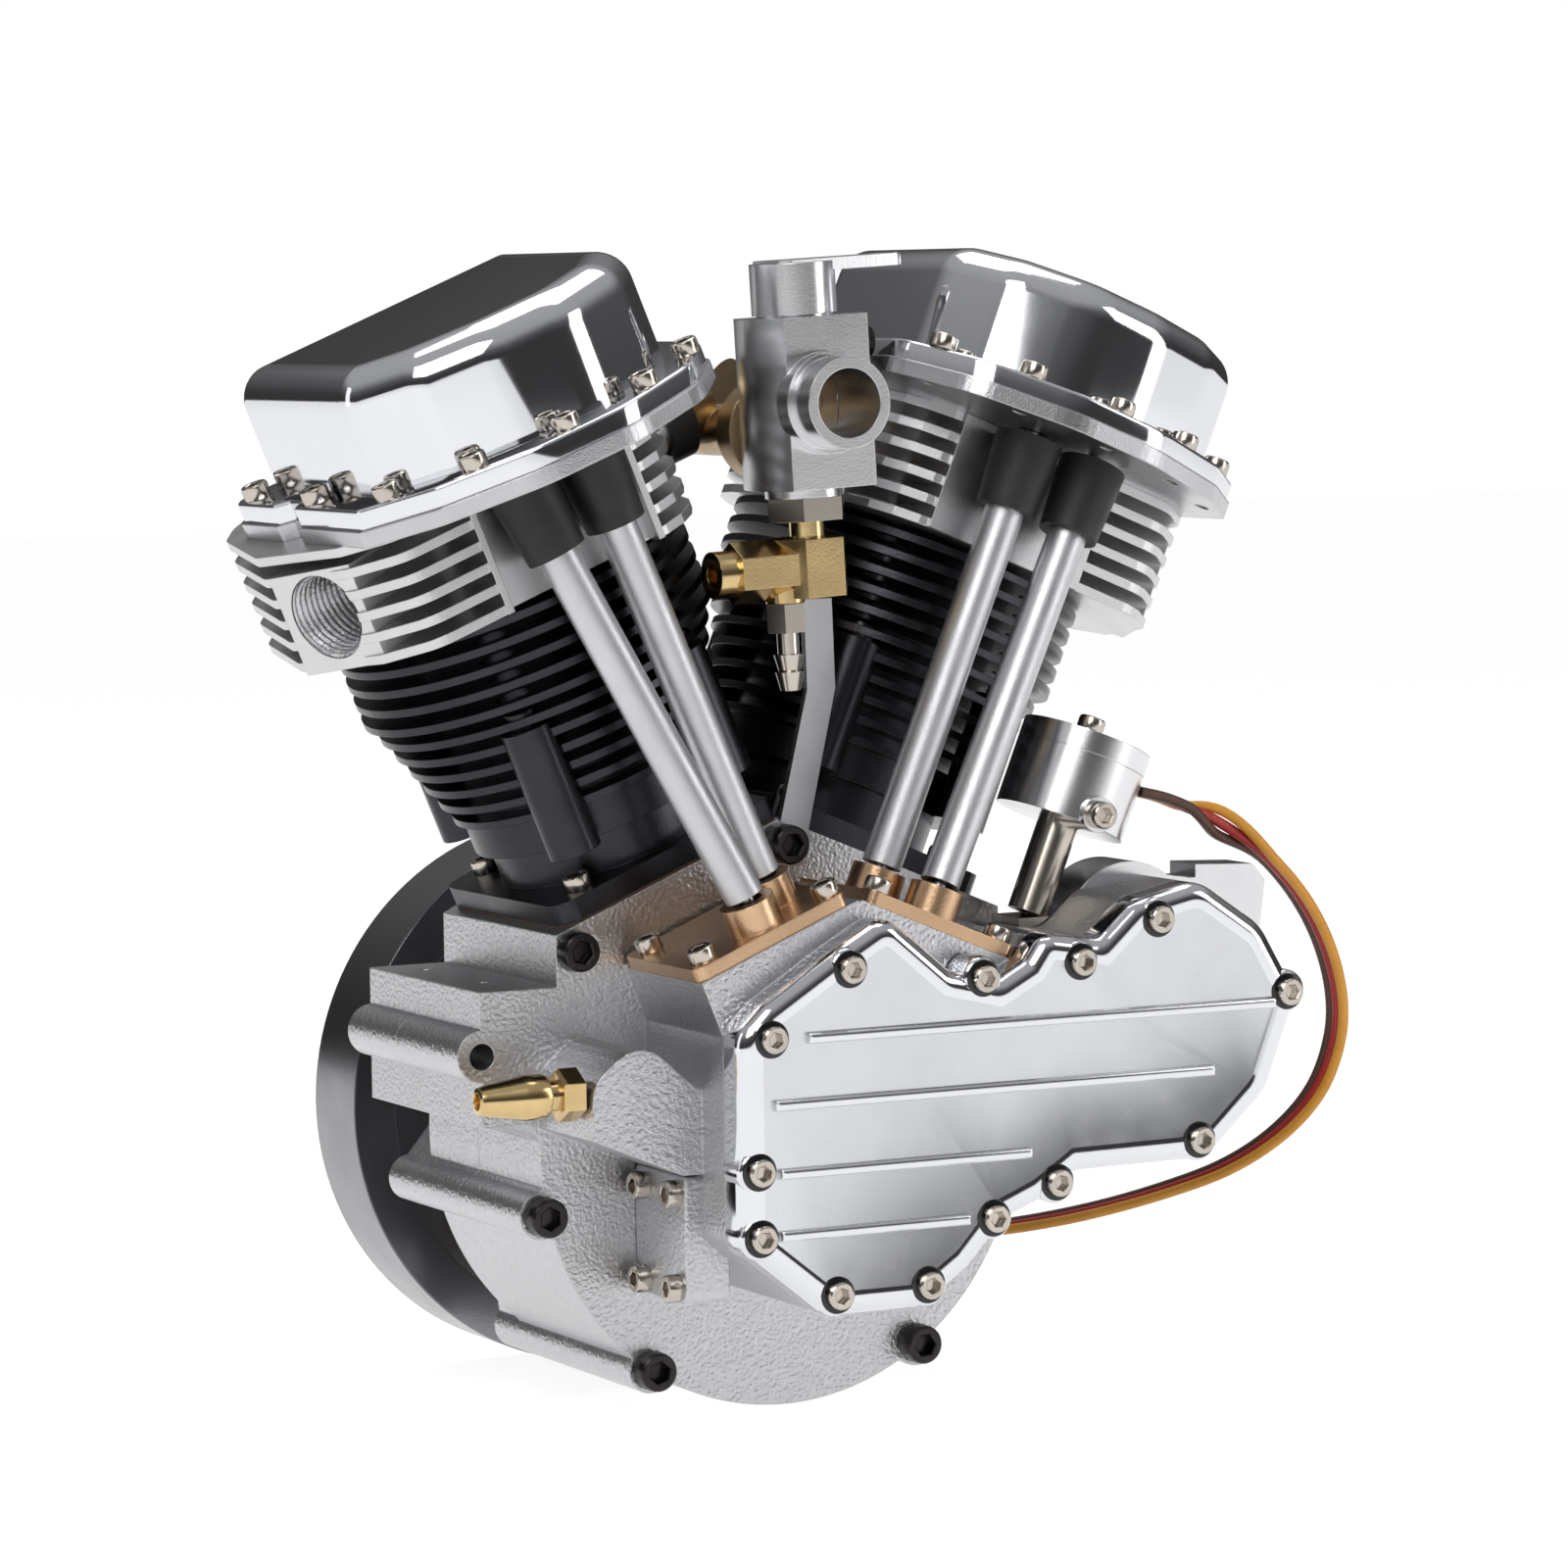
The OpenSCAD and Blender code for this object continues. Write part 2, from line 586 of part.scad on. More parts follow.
module timing_cover() color("lightsteelblue") on_crank() difference() {
    union() {
        slab(cover_y + cover_roll, chest_y) chest_outline();
        for (i = [1:roll_steps])
            slab(cover_y + roll_y(i), cover_y + roll_y(i - 1) + run_gap)
                polygon(rounded(inset(chest_points, roll_in(i))));
        for (r = ribs) translate([r[0], cover_y - rib_h, r[2] - rib_w / 2]) cube([r[1] - r[0], rib_h + over,
            rib_w]);
        for (p = cover_screws) translate([p[0], 0, p[1]]) bar(cover_screw_r, cover_y + cover_sink, chest_y);
    }
    for (p = cover_screws) translate([p[0], 0, p[1]]) {
        bar(small_screw_d / 2 + screw_gap, cover_y - over, chest_y + over);
        bar(small_head_d / 2 + head_ring, cover_y - over, cover_y + cover_sink);
    }
    slab(cover_y + cover_web, chest_y + over) polygon(rounded(inset(chest_points, chest_wall + cover_rim)));
}
// Rolled edge of the cover, as a quarter round in steps
cover_roll = 2.2;
roll_steps = 4;
function roll_in(i) = cover_roll * (1 - cos(90 * i / roll_steps));
function roll_y(i) = cover_roll * (1 - sin(90 * i / roll_steps));

// Small cover on the left side of the chest
side_x = -21;
side_t = 2;
side_screw_l = 3.2;
side_at = [-36, -19];
side_size = [15, 17.4];
side_screws = [[-23.6, -4.2], [-33.4, -4.2], [-23.6, -17], [-33.4, -17]];
module side_cover() color("silver") on_crank() difference() {
    translate([side_x - side_t, side_at.x, side_at.y]) cube([side_t, side_size.x, side_size.y]);
    for (p = side_screws) translate([side_x, p[0], p[1]]) rotate([0, -90, 0]) screw_hole(small_screw_d, over);
    for (p = side_screws) translate([side_x, p[0], p[1]]) rotate([0, -90, 0])
        cylinder(h = side_t + over, r = small_screw_d / 2 + screw_gap, $fn = 24);
}

// Breather nipple: hexagon, spigot, neck, barb and its taper, as heights over the boss
nipple_hex = [7.2, 2.8];
nipple_hex_sink = 0.6;
nipple_spigot = [2.9, 4];
nipple_neck = [3.6, 13];
nipple_barb = [5, 4.5];
nipple_barb_z = 4;
nipple_tip = [3.8, 6];
nipple_bore = 2;
module breather_nipple() color("goldenrod") on_crank() translate(nipple_at) rotate([0, -90, 0]) difference() {
    union() {
        translate([0, 0, -nipple_hex_sink]) cylinder(h = nipple_hex.y, d = nipple_hex.x, $fn = 6);
        translate([0, 0, -nipple_spigot.y]) cylinder(h = nipple_spigot.y, d = nipple_spigot.x);
        cylinder(h = nipple_neck.y, d = nipple_neck.x);
        translate([0, 0, nipple_barb_z]) cylinder(h = nipple_barb.y, d = nipple_barb.x);
        translate([0, 0, nipple_barb_z + nipple_barb.y]) cylinder(h = nipple_tip.y, d1 = nipple_barb.x,
            d2 = nipple_tip.x);
    }
    translate([0, 0, -nipple_spigot.y - over]) cylinder(h = nipple_spigot.y + 16 * over, d = nipple_bore);
}

module main_bearings() color("darkgray") on_crank() for (y = [front_bearing_y, rear_bearing_y])
    difference() {
        tube_y(bearing_od / 2, shaft_d / 2, y, y + bearing_w);
        tube_y(bearing_od / 2 - race_t, shaft_d / 2 + race_t, y - over, y + race_sink);
    }

// Crankshaft with two webs, short crankpin journals and the timing pinion
module crankshaft() color("gray") on_crank() {
    for (s = [-1, 1]) {
        y0 = s > 0 ? web_y : -web_y - web_t;
        difference() {
            bar(web_r, y0, y0 + web_t);
            translate([0, 0, crank_r]) for (x = [-1, 1])
                translate([x * (crankpin_d + web_r / 2), 0, 0]) bar(web_r * web_cut_share, y0 - over,
                    y0 + web_t + over);
        }
    }
    translate([0, 0, crank_r]) for (s = [-1, 1])
        bar(crankpin_d / 2, s > 0 ? web_y - pin_stub : -web_y - over,
            s > 0 ? web_y + over : -web_y + pin_stub);
    bar(shaft_d / 2 - run_gap, -case_front - run_gap * 4, -web_y - over);
    bar(nose_shaft_r, gear_back - gear_w, -case_front);
    bar(shaft_d / 2 - run_gap, web_y + over, nut_end);
    bar(shaft_d / 2 - shaft_step, nut_end - over, shaft_end);
    gear(pinion_teeth, 0, 0, gear_back - gear_w, gear_back);
}
nut_out = 2.5;
nut_t = 4.5;
nut_d = 14;
shaft_tip = 3.5;
nut_end = flywheel_y + flywheel_w + nut_out;
shaft_end = nut_end + shaft_tip;
shaft_step = 0.55;
nose_shaft_r = 2.9;

// Gear outline with tapered teeth, the first tooth at angle 0
root_share = 0.3;
head_share = 0.9;
foot_share = 1.15;
tip_share = 0.12;
function gear_points(teeth) =
    let (m = gear_module, ro = m * (teeth / 2 + head_share), ri = m * (teeth / 2 - foot_share),
        step = 360 / teeth)
    [for (i = [0:teeth - 1], k = [[-root_share, ri], [-tip_share, ro], [tip_share, ro], [root_share, ri]])
        k[1] * [cos(step * (i + k[0])), sin(step * (i + k[0]))]];
module gear(teeth, x, z, y0, y1, turn = 0) translate([x, 0, z]) rotate([0, -turn, 0])
    slab(y0, y1) polygon(gear_points(teeth));

// Cam with a round base and a nose
cam_lift = 1.2;
lobe_w = 3;
front_base_r = 9;
rear_base_r = 8.5;
cam_core_r = 3.2;
cam_inset = 1.6;
module cam_lobe(base, turn, y) translate([0, 0, cam_z]) rotate([0, -turn, 0]) {
    bar(base, y - lobe_w / 2, y + lobe_w / 2);
    translate([base / 2 + cam_lift, 0, 0]) bar(base / 2, y - lobe_w / 2, y + lobe_w / 2);
}
module camshaft() color("gray") on_crank() {
    gear(cam_teeth, 0, cam_z, gear_back - gear_w, gear_back, cam_phase);
    translate([0, 0, cam_z]) {
        bar(stud_d / 2, -case_front - 2 * over, -case_front + cam_end);
        bar(cam_core_r, chest_y + cam_inset, -case_front - over - run_gap * 4);
    }
    cam_lobe(front_base_r, 180, front_tappet[1]);
    cam_lobe(rear_base_r, 150, rear_tappet[1]);
}
module idler(p, turn) color("gray") on_crank() {
    gear(idler_teeth, p.x, p.y, gear_back - gear_w, gear_back, turn);
    translate([p.x, 0, p.y]) bar(stud_d / 2, gear_back - over, gear_back + stud_l);
}
module inner_idler_gear() idler(inner_idler_at, inner_phase);
module outer_idler_gear() idler(outer_idler_at, outer_phase);
// Turn that puts a gap of this gear opposite a tooth of the gear it meets
function mesh_turn(teeth, line, other_turn, other_teeth) =
    let (phase = (line - other_turn) * other_teeth / 360, frac = phase - floor(phase))
    line + 180 + (180 + frac * 360) / teeth;
cam_phase = mesh_turn(cam_teeth, 90, 0, pinion_teeth);
inner_phase = mesh_turn(idler_teeth, 0, cam_phase, cam_teeth);
outer_phase = mesh_turn(idler_teeth, 0, inner_phase, idler_teeth);
module accessory_gear() color("gray") on_crank() {
    gear(accessory_teeth, accessory_at.x, accessory_at.y, gear_back - gear_w, gear_back,
         mesh_turn(accessory_teeth, accessory_turn, outer_phase, idler_teeth));
    translate([accessory_at.x, 0, accessory_at.y]) bar(stud_d / 2, gear_back - over, gear_back + stud_l);
}
accessory_r = 10.2;
accessory_back = -case_front - room_wall;
accessory_step = 2;
housing_at = [48.6, 26.4];
module accessory_housing() color("silver") on_crank() translate([housing_at.x, 0, housing_at.y]) {
    bar(accessory_r, chest_y + wing_depth, accessory_back - accessory_step);
    bar(accessory_r - accessory_step, chest_y + wing_depth, accessory_back);
    slab(chest_y + wing_depth + run_gap, chest_y + wing_depth + lug_depth) polygon(accessory_r * lug_shares);
}
lug_depth = 7;
// Outline of the lug beside the housing, as shares of the housing radius
lug_shares = [[0.1, -0.5], [0.1, 0.86], [1, 0.72], [1.08, 0.72], [1.08, 0.9], [2, 0.86], [2.2, 0.62], [2.1,
    -0.1], [1, -0.5]];

hub_r = 11;
hub_front = 4;
hub_sink = 2;
wheel_hole_r = 5;
wheel_holes = 6;
module flywheel() color("dimgray") on_crank() difference() {
    union() {
        tube_y(flywheel_r, flywheel_r - flywheel_rim, flywheel_y, flywheel_y + flywheel_w);
        bar(flywheel_r - flywheel_rim + over, flywheel_y + flywheel_w / 2 - flywheel_web / 2,
            flywheel_y + flywheel_w / 2 + flywheel_web / 2);
        bar(hub_r, flywheel_y - hub_front, flywheel_y + flywheel_w - hub_sink);
    }
    bar(shaft_d / 2, flywheel_y - hub_front - over, flywheel_y + flywheel_w + over);
    for (i = [0:wheel_holes - 1]) rotate([0, (i + 0.5) * 360 / wheel_holes, 0])
        translate([(flywheel_r - flywheel_rim + hub_r) / 2, 0, 0]) bar(wheel_hole_r, flywheel_y,
            flywheel_y + flywheel_w);
}
module flywheel_nut() color("silver") on_crank() difference() {
    translate([0, nut_end, 0]) rotate([90, 0, 0]) cylinder(h = nut_t, d = nut_d, $fn = 6);
    bar(shaft_d / 2, flywheel_y, shaft_end);
}

// Shank of a connecting rod, as half widths and distances from its eyes
shank_foot = [3, 3];
shank_head = [2.2, 2];
shank_in = 0.4;
groove_foot = [1.4, 8];
groove_head = [1, 7];
groove_depth = 1;
function taper(foot, head) = [[-foot.x, foot.y], [foot.x, foot.y], [head.x, rod_length - head.y], [-head.x,
    rod_length - head.y]];
module rod(side) on_crank() translate([0, side * rod_pitch, crank_r]) rotate([0,
    side * (bank_angle + rod_tilt_out), 0])
    difference() {
        union() {
            bar(crankpin_d / 2 + eye_wall, -rod_width / 2, rod_width / 2);
            translate([0, 0, rod_length]) bar(wrist_pin_d / 2 + pin_wall, -rod_width / 2, rod_width / 2);
            slab(-rod_width / 2 + shank_in, rod_width / 2 - shank_in) polygon(taper(shank_foot, shank_head));
        }
        bar(crankpin_d / 2 + run_gap, -rod_width, rod_width);
        translate([0, 0, rod_length]) bar(wrist_pin_d / 2 + run_gap, -rod_width, rod_width);
        slab(-rod_width, -rod_width / 2 + groove_depth) polygon(taper(groove_foot, groove_head));
        slab(rod_width / 2 - groove_depth, rod_width) polygon(taper(groove_foot, groove_head));
    }
rod_tilt_out = -rod_tilt;
module rod_left() color("silver") rod(-1);
module rod_right() color("silver") rod(1);

module piston(side) on_cylinder(side) translate([0, 0, wrist_w]) difference() {
    union() {
        translate([0, 0, -piston_skirt]) cylinder(h = piston_skirt + piston_crown, r = piston_r);
    }
    translate([0, 0, -piston_skirt - over]) cylinder(h = piston_skirt + piston_crown - crown_t + over,
        r = piston_inner_r);
    bar(wrist_pin_d / 2, -bore, bore);
    for (i = [1:ring_count]) translate([0, 0, piston_crown - i * 2 * ring_w]) difference() {
        cylinder(h = ring_w, r = bore);
        translate([0, 0, -over]) cylinder(h = ring_w + 2 * over, r = piston_r - ring_depth);
    }
}
module piston_left() color("lightgray") piston(-1);
module piston_right() color("lightgray") piston(1);
module wrist_pin(side) on_cylinder(side) translate([0, 0, wrist_w])
    tube_y(wrist_pin_d / 2, wrist_pin_d / 4, -piston_r + pin_sink, piston_r - pin_sink);
module wrist_pin_left() color("gray") wrist_pin(-1);
module wrist_pin_right() color("gray") wrist_pin(1);

// Deck at the back of the crankcase that carries the base flanges
deck_t = 10;
deck_lip = 0.3;

// Outline of the base flange, cut short where the two banks meet
base_in = -16.6;
base_corner = 3;
base_in_corner = 1;
module base_shape() polygon(rounded([[base_half, base_half, base_corner], [base_half, -base_half,
    base_corner],
    [base_in, -base_half, base_in_corner], [base_in, base_half, base_in_corner]]));
module cylinder_body(side) on_cylinder(side) difference() {
    union() {
        translate([0, 0, base_w]) linear_extrude(base_t) base_shape();
        translate([0, 0, seat_h - spigot_h]) cylinder(h = spigot_h + over, r = spigot_r);
        translate([0, 0, base_w]) cylinder(h = deck_h - base_w, r = barrel_r);
        for (i = [0:fin_count - 1]) translate([0, 0, deck_h - fin_drop - fin_t - i * fin_pitch])
            cylinder(h = fin_t, r = i < large_fins ? fin_r : small_fin_r - (i - large_fins) * small_fin_step);
        for (x = [-1, 1], y = [-1, 1]) translate([x * tunnel.x, y * tunnel.y, tunnel_foot])
            cylinder(h = tunnel_top - tunnel_foot, r = tunnel_r);
        translate([0, 0, tunnel_foot]) cylinder(h = foot_h, r = barrel_r + foot_wall);
    }
    translate([0, 0, seat_h - spigot_h - over]) cylinder(h = deck_h, r = bore / 2);
    for (x = [-1, 1], y = [-1, 1]) {
        translate([x * base_screw.x, y * base_screw.y, base_w + base_t]) {
            screw_hole(small_screw_d, base_t + over);
            cylinder(h = pocket_h, r = small_head_d / 2 + seat_gap);
        }
        translate([x * tunnel.x, y * tunnel.y, tunnel_top]) {
            screw_hole(tunnel_screw_d, tunnel_screw + over);
            cylinder(h = deck_h, r = tunnel_head_d / 2 + seat_gap);
        }
    }
}
module cylinder_left() color("#222226") cylinder_body(-1);
module cylinder_right() color("#222226") cylinder_body(1);
module base_gaskets() color("dimgray") for (s = [-1, 1]) on_cylinder(s) translate([0, 0, seat_h])
    difference() {
    linear_extrude(gasket_t) base_shape();
    translate([0, 0, -over]) cylinder(h = gasket_t + 2 * over, r = spigot_r + run_gap);
    for (x = [-1, 1], y = [-1, 1]) translate([x * base_screw.x, y * base_screw.y, 0])
        cylinder(h = 3 * over, r = small_screw_d / 2 + screw_gap, center = true, $fn = 24);
}

// Head with fins, an exhaust port on the outer front corner and an intake port on the inner side
head_fins = 5;
head_fin_pitch = (head_h - head_fin_t) / head_fins;
head_core_r = 20;
port_turn = -23;
port_reach = 34;
port_half = 7.6;
port_depth = 12;
port_block_h = 14.2;
port_w = 7.6;
inlet_turn = 180;
inlet_w = 9.6;
inlet_port_d = 8;
inlet_reach = 30;
inlet_wall = 2;
inlet_in = 10;
roof_t = 3;
spark_foot = 1;
spark_bore = 40;
sleeve_l = 4.3;
sleeve_out = 32.5;
module head(side) on_cylinder(side) difference() {
    union() {
        translate([0, 0, deck_h]) cylinder(h = head_h, r = head_core_r);
        for (i = [0:head_fins]) translate([0, 0, deck_h + i * head_fin_pitch]) linear_extrude(head_fin_t)
            polygon(rounded(head_r * head_shares));
        rotate([0, 0, port_turn]) translate([0, -port_half, deck_h])
            cube([port_reach, 2 * port_half, port_block_h]);
        translate([-boss_half, -head_r, deck_h + run_gap]) cube([2 * boss_half, boss_deep,
            head_h - 2 * run_gap]);
        rotate([0, 0, inlet_turn]) translate([0, 0, deck_h + inlet_w]) rotate([0, 90, 0])
            cylinder(h = inlet_reach, d = inlet_port_d + 2 * inlet_wall);
    }
    rotate([0, 0, port_turn]) translate([port_reach - port_depth, 0, deck_h + port_w]) rotate([0, 90, 0])
        cylinder(h = port_depth + over, d = port_d);
    rotate([0, 0, inlet_turn]) translate([inlet_in, 0, deck_h + inlet_w]) rotate([0, 90, 0])
        cylinder(h = inlet_reach, d = inlet_port_d);
    translate([-boot_room_x, -2 * head_r, deck_h - over])
        cube([2 * boot_room_x, 2 * head_r - boot_room_y - side * rod_pitch, head_h + 2 * over]);
    translate([0, 0, deck_h - over]) cylinder(h = over + roof_t, r = bore / 2);
    translate([0, spark_y, deck_h + spark_foot]) rotate([-spark_tilt, 0, 0]) cylinder(h = spark_bore,
        d = spark_thread_d);
}
boss_half = 12.6;
boss_deep = 12;
// Outline of the head fins and its corners, as shares of their radius
head_shares = [[1.05, -0.74, 0.05], [0.84, -0.98, 0.18], [-0.8, -0.98, 0.45], [-0.86, 0.94, 0.44],
               [0.86, 0.94, 0.36], [1.07, 0.62, 0.2], [1.22, -0.1, 0.12]];
boot_room_x = 11.6;
boot_room_y = 26.2;
spark_y = 6;
spark_tilt = 62;
spark_thread_d = 6.2;
module head_left() color("silver") head(-1);
module head_right() color("silver") head(1);

// Rocker plate and cover, as distance outward and place along the engine, listed clockwise
rocker_reach = 40;
rocker_shares = [
    [0.71, 0.3, 0.075], [0.71, -0.075, 0.025], [0.665, -0.125, 0.025], [0.665, -0.2, 0.025], [0.71, -0.25,
        0.025], [0.71, -0.775, 0.05], [0.5125, -0.985, 0.15],
    [0.175, -1.135, 0.35], [-0.175, -1.145, 0.35], [-0.5125, -1, 0.25], [-0.715, -0.725, 0.2], [-0.715, 0.3,
        0.15]];
rocker_points = rocker_reach * rocker_shares;
cover_shares = [
    [0.585, 0.2, 0.1], [0.585, -0.735, 0.1], [0.3875, -0.91, 0.175], [0.125, -0.99, 0.35], [-0.175, -1,
        0.35], [-0.4375, -0.8625, 0.225],
    [-0.585, -0.6625, 0.175], [-0.585, 0.2, 0.1]];
cover_points = rocker_reach * cover_shares;
rocker_screw_shares = [[0.64, 0.175], [0.64, -0.3375], [0.585, -0.81], [0.335, -0.985], [0.015, -1.065],
    [-0.325, -1.01], [-0.59, -0.825],
                 [-0.65, -0.25], [-0.65, 0.2], [0, 0.255]];
rocker_screws = rocker_reach * rocker_screw_shares;
cover_round = 5;
cover_edge = 0.5;
rod_room = 1;
cover_steps = 6;
dome_steps = 8;
module rocker_plate(side) on_bank(side) difference() {
    translate([0, 0, plate_w]) linear_extrude(rocker_plate_t) polygon(rounded(rocker_points));
    for (p = rocker_screws) translate([p[0], p[1], flange_w]) screw_hole(small_screw_d,
        rocker_plate_t + over);
    for (p = [front_top, rear_top]) translate([p[0], p[1], plate_w - over])
        cylinder(h = rocker_plate_t + 2 * over, r = pushrod_d / 2 + rod_room);
}
module rocker_plate_left() color("silver") rocker_plate(-1);
module rocker_plate_right() color("silver") rocker_plate(1);
module cover_dome(d, top) hull() {
    translate([0, 0, flange_w]) linear_extrude(top - flange_w - cover_round + d)
        polygon(rounded(inset(cover_points, d), dome_steps));
    for (i = [1:cover_steps]) {
        a = 90 * i / cover_steps;
        translate([0, 0, flange_w]) linear_extrude(top - flange_w - (cover_round - d) * (1 - sin(a)))
            polygon(rounded(inset(cover_points, d + (cover_round - d) * (1 - cos(a))), dome_steps));
    }
}
module rocker_cover(side) on_bank(side) difference() {
    union() {
        translate([0, 0, flange_w]) linear_extrude(cover_flange_t) polygon(rounded(inset(rocker_points,
            cover_edge)));
        cover_dome(0, rocker_top);
    }
    translate([0, 0, -over]) cover_dome(rocker_cover_wall, rocker_top - rocker_cover_wall + over);
    for (p = rocker_screws) translate([p[0], p[1], rocker_w]) screw_hole(small_screw_d,
        cover_flange_t + over);
}
module rocker_cover_left() color("lightsteelblue") rocker_cover(-1);
module rocker_cover_right() color("lightsteelblue") rocker_cover(1);

// Places a child on the line from a tappet to its rocker, with Z up the line
module on_pushrod(side, foot, top) on_bank(side) {
    a = [foot[0], foot[1], tube_foot_w];
    b = [top[0], top[1], plate_w];
    d = b - a;
    translate(a) rotate([0, 0, atan2(d.y, d.x)]) rotate([0, acos(d.z / norm(d)), 0]) children();
}
function line_length(foot, top) = norm([top[0] - foot[0], top[1] - foot[1], plate_w - tube_foot_w]);
module each_pushrod() for (s = [-1, 1], p = [[front_tappet, front_top], [rear_tappet, rear_top]]) {
    $foot = p[0];
    $top = p[1];
    on_pushrod(s, p[0], p[1]) children();
}
module pushrod_tubes() color("silver") each_pushrod() {
    length = line_length($foot, $top) - seat_gap * 3;
    difference() {
        cylinder(h = length, d = tube_d);
        translate([0, 0, -over]) cylinder(h = length + 2 * over, d = tube_d - 2 * tube_wall);
    }
}
module pushrod_boots() color("#202020") each_pushrod() {
    length = line_length($foot, $top);
    translate([0, 0, length - boot_h]) difference() {
        cylinder(h = boot_h - boot_lip, d1 = boot_d - boot_flare, d2 = boot_d + boot_flare);
        translate([0, 0, -over]) cylinder(h = boot_h + over, d = tube_d);
    }
}
module tappet_plates() color("peru") for (s = [-1, 1]) on_bank(s) difference() {
    union() {
        translate([0, 0, tappet_seat]) linear_extrude(tappet_plate_t)
            polygon(rounded([[tappet_out, tappet_plate_y[1], plate_corner], [tappet_out, tappet_plate_y[0],
                plate_front_corner],
                [tappet_in + plate_in, tappet_plate_y[0], plate_corner], [tappet_in + plate_in,
                    tappet_plate_y[1], plate_corner]]));
        for (p = [front_tappet, rear_tappet]) translate([p[0], p[1], tappet_seat]) cylinder(h = collar_h,
            d = collar_d);
    }
    for (p = [front_tappet, rear_tappet]) translate([p[0], p[1], tappet_seat - over])
        cylinder(h = collar_h + 2 * over, r = tappet_d / 2 + run_gap);
    for (p = tappet_screws) translate([p[0], p[1], tappet_seat + tappet_plate_t])
        screw_hole(small_screw_d, tappet_plate_t + over);
}
collar_h = tappet_plate_t + collar_rise;
// Tappet in its collar with the pushrod on top of it
tappet_rise = 23.3;
tappet_foot = tappet_seat - tappet_rise;
tappet_top = 2;
pushrod_in = 2;
pushrod_out = 2;
module pushrod(side, foot, top) {
    on_bank(side) translate([foot[0], foot[1], tappet_seat - tappet_foot])
        cylinder(h = tappet_foot + tappet_plate_t + tappet_top, d = tappet_d);
    on_pushrod(side, foot, top) translate([0, 0, -pushrod_in])
        cylinder(h = line_length(foot, top) + pushrod_in + pushrod_out, d = pushrod_d);
}
module front_pushrod_left() color("gray") pushrod(-1, front_tappet, front_top);
module rear_pushrod_left() color("gray") pushrod(-1, rear_tappet, rear_top);
module front_pushrod_right() color("gray") pushrod(1, front_tappet, front_top);
module rear_pushrod_right() color("gray") pushrod(1, rear_tappet, rear_top);

// Carburettor between the heads, rolled a little to the left
carb_at = [2.4, -31, plate_w - 1];
carb_roll = 3;
inlet_l = 7;
// Radius of the convex left side of the body
carb_side_r = 18;
module on_carb() on_crank() translate(carb_at) rotate([0, -carb_roll, 0]) children();
carb_back_share = 1.5;
inlet_ring = [0.7, 2.2];
carb_foot = [11, 1.2];
carb_foot_in = 0.8;
barrel_bore_z = -8;
barrel_wall = 0.6;
needle_drop = 4;
needle_z = carb_h / 2 - needle_drop;
needle_bore = [2.1, 4];
module carburettor() color("silver") on_carb() difference() {
    union() {
        intersection() {
            translate([-carb_w, 0, -carb_h / 2]) cube([carb_w * carb_back_share, carb_depth, carb_h]);
            translate([carb_side_r - carb_w / 2, carb_depth / 2, -carb_h]) cylinder(h = 2 * carb_h,
                r = carb_side_r);
        }
        bar(inlet_d / 2 + inlet_ring.x, -inlet_ring.y, over);
        bar(inlet_d / 2, -inlet_l, over);
        translate([0, carb_depth / 2, -carb_h / 2 - carb_foot.y]) cylinder(h = carb_foot.y + carb_foot_in,
            d = carb_foot.x);
    }
    bar(inlet_bore / 2, -inlet_l - over, carb_depth + over);
    translate([0, carb_depth / 2, barrel_bore_z]) cylinder(h = carb_h, r = barrel_d / 2 - barrel_wall);
    translate([carb_w / 2 + over, carb_depth / 2, needle_z]) rotate([0, -90, 0]) cylinder(h = needle_bore.y,
        d = needle_bore.x);
}
// Throttle barrel that turns in the body, with the lever on top
barrel_top = 7;
lever_z = 6;
lever_t = 1.7;
lever_hole = [13.4, 1.8];
lever_shares = [[-0.25, -0.3125, 0.09375], [-0.25, 0.3125, 0.09375], [1, 0.1875, 0.125], [1, -0.1875, 0.125]];
lever_l = 16;
module throttle_barrel() color("gainsboro") on_carb() translate([0, carb_depth / 2, 0]) difference() {
    union() {
        translate([0, 0, barrel_bore_z + seat_gap]) cylinder(h = carb_h / 2 - barrel_bore_z,
            r = barrel_d / 2 - barrel_wall - run_gap);
        translate([0, 0, carb_h / 2 + seat_gap]) cylinder(h = barrel_top, d = barrel_d);
        translate([0, 0, carb_h / 2 + lever_z]) linear_extrude(lever_t)
            polygon(rounded(lever_l * lever_shares));
    }
    translate([0, bore, 0]) bar(inlet_bore / 2, -2 * bore, bore);
    translate([lever_hole.x, 0, carb_h / 2]) cylinder(h = lever_z + lever_t + over, d = lever_hole.y);
}
needle_out = 1.5;
needle_head = [4.6, 2.3];
needle_shank = [2, 2.4];
needle_shank_in = 0.6;
needle_hex = [3.4, 1.2];
needle_hex_in = 0.8;
module needle_screw() color("dimgray") on_carb() translate([carb_w / 2 + needle_out, carb_depth / 2,
    needle_z]) rotate([0, 90, 0]) {
    cylinder(h = needle_head.y, d = needle_head.x);
    translate([0, 0, -needle_shank.y]) cylinder(h = needle_shank.y + needle_shank_in, d = needle_shank.x);
    translate([0, 0, -needle_hex.y]) cylinder(h = needle_hex.y + needle_hex_in, d = needle_hex.x, $fn = 6);
}
// Manifold from the carburettor to both heads
manifold_r = 3.6;
manifold_x = 0;
sleeve_in = 2;
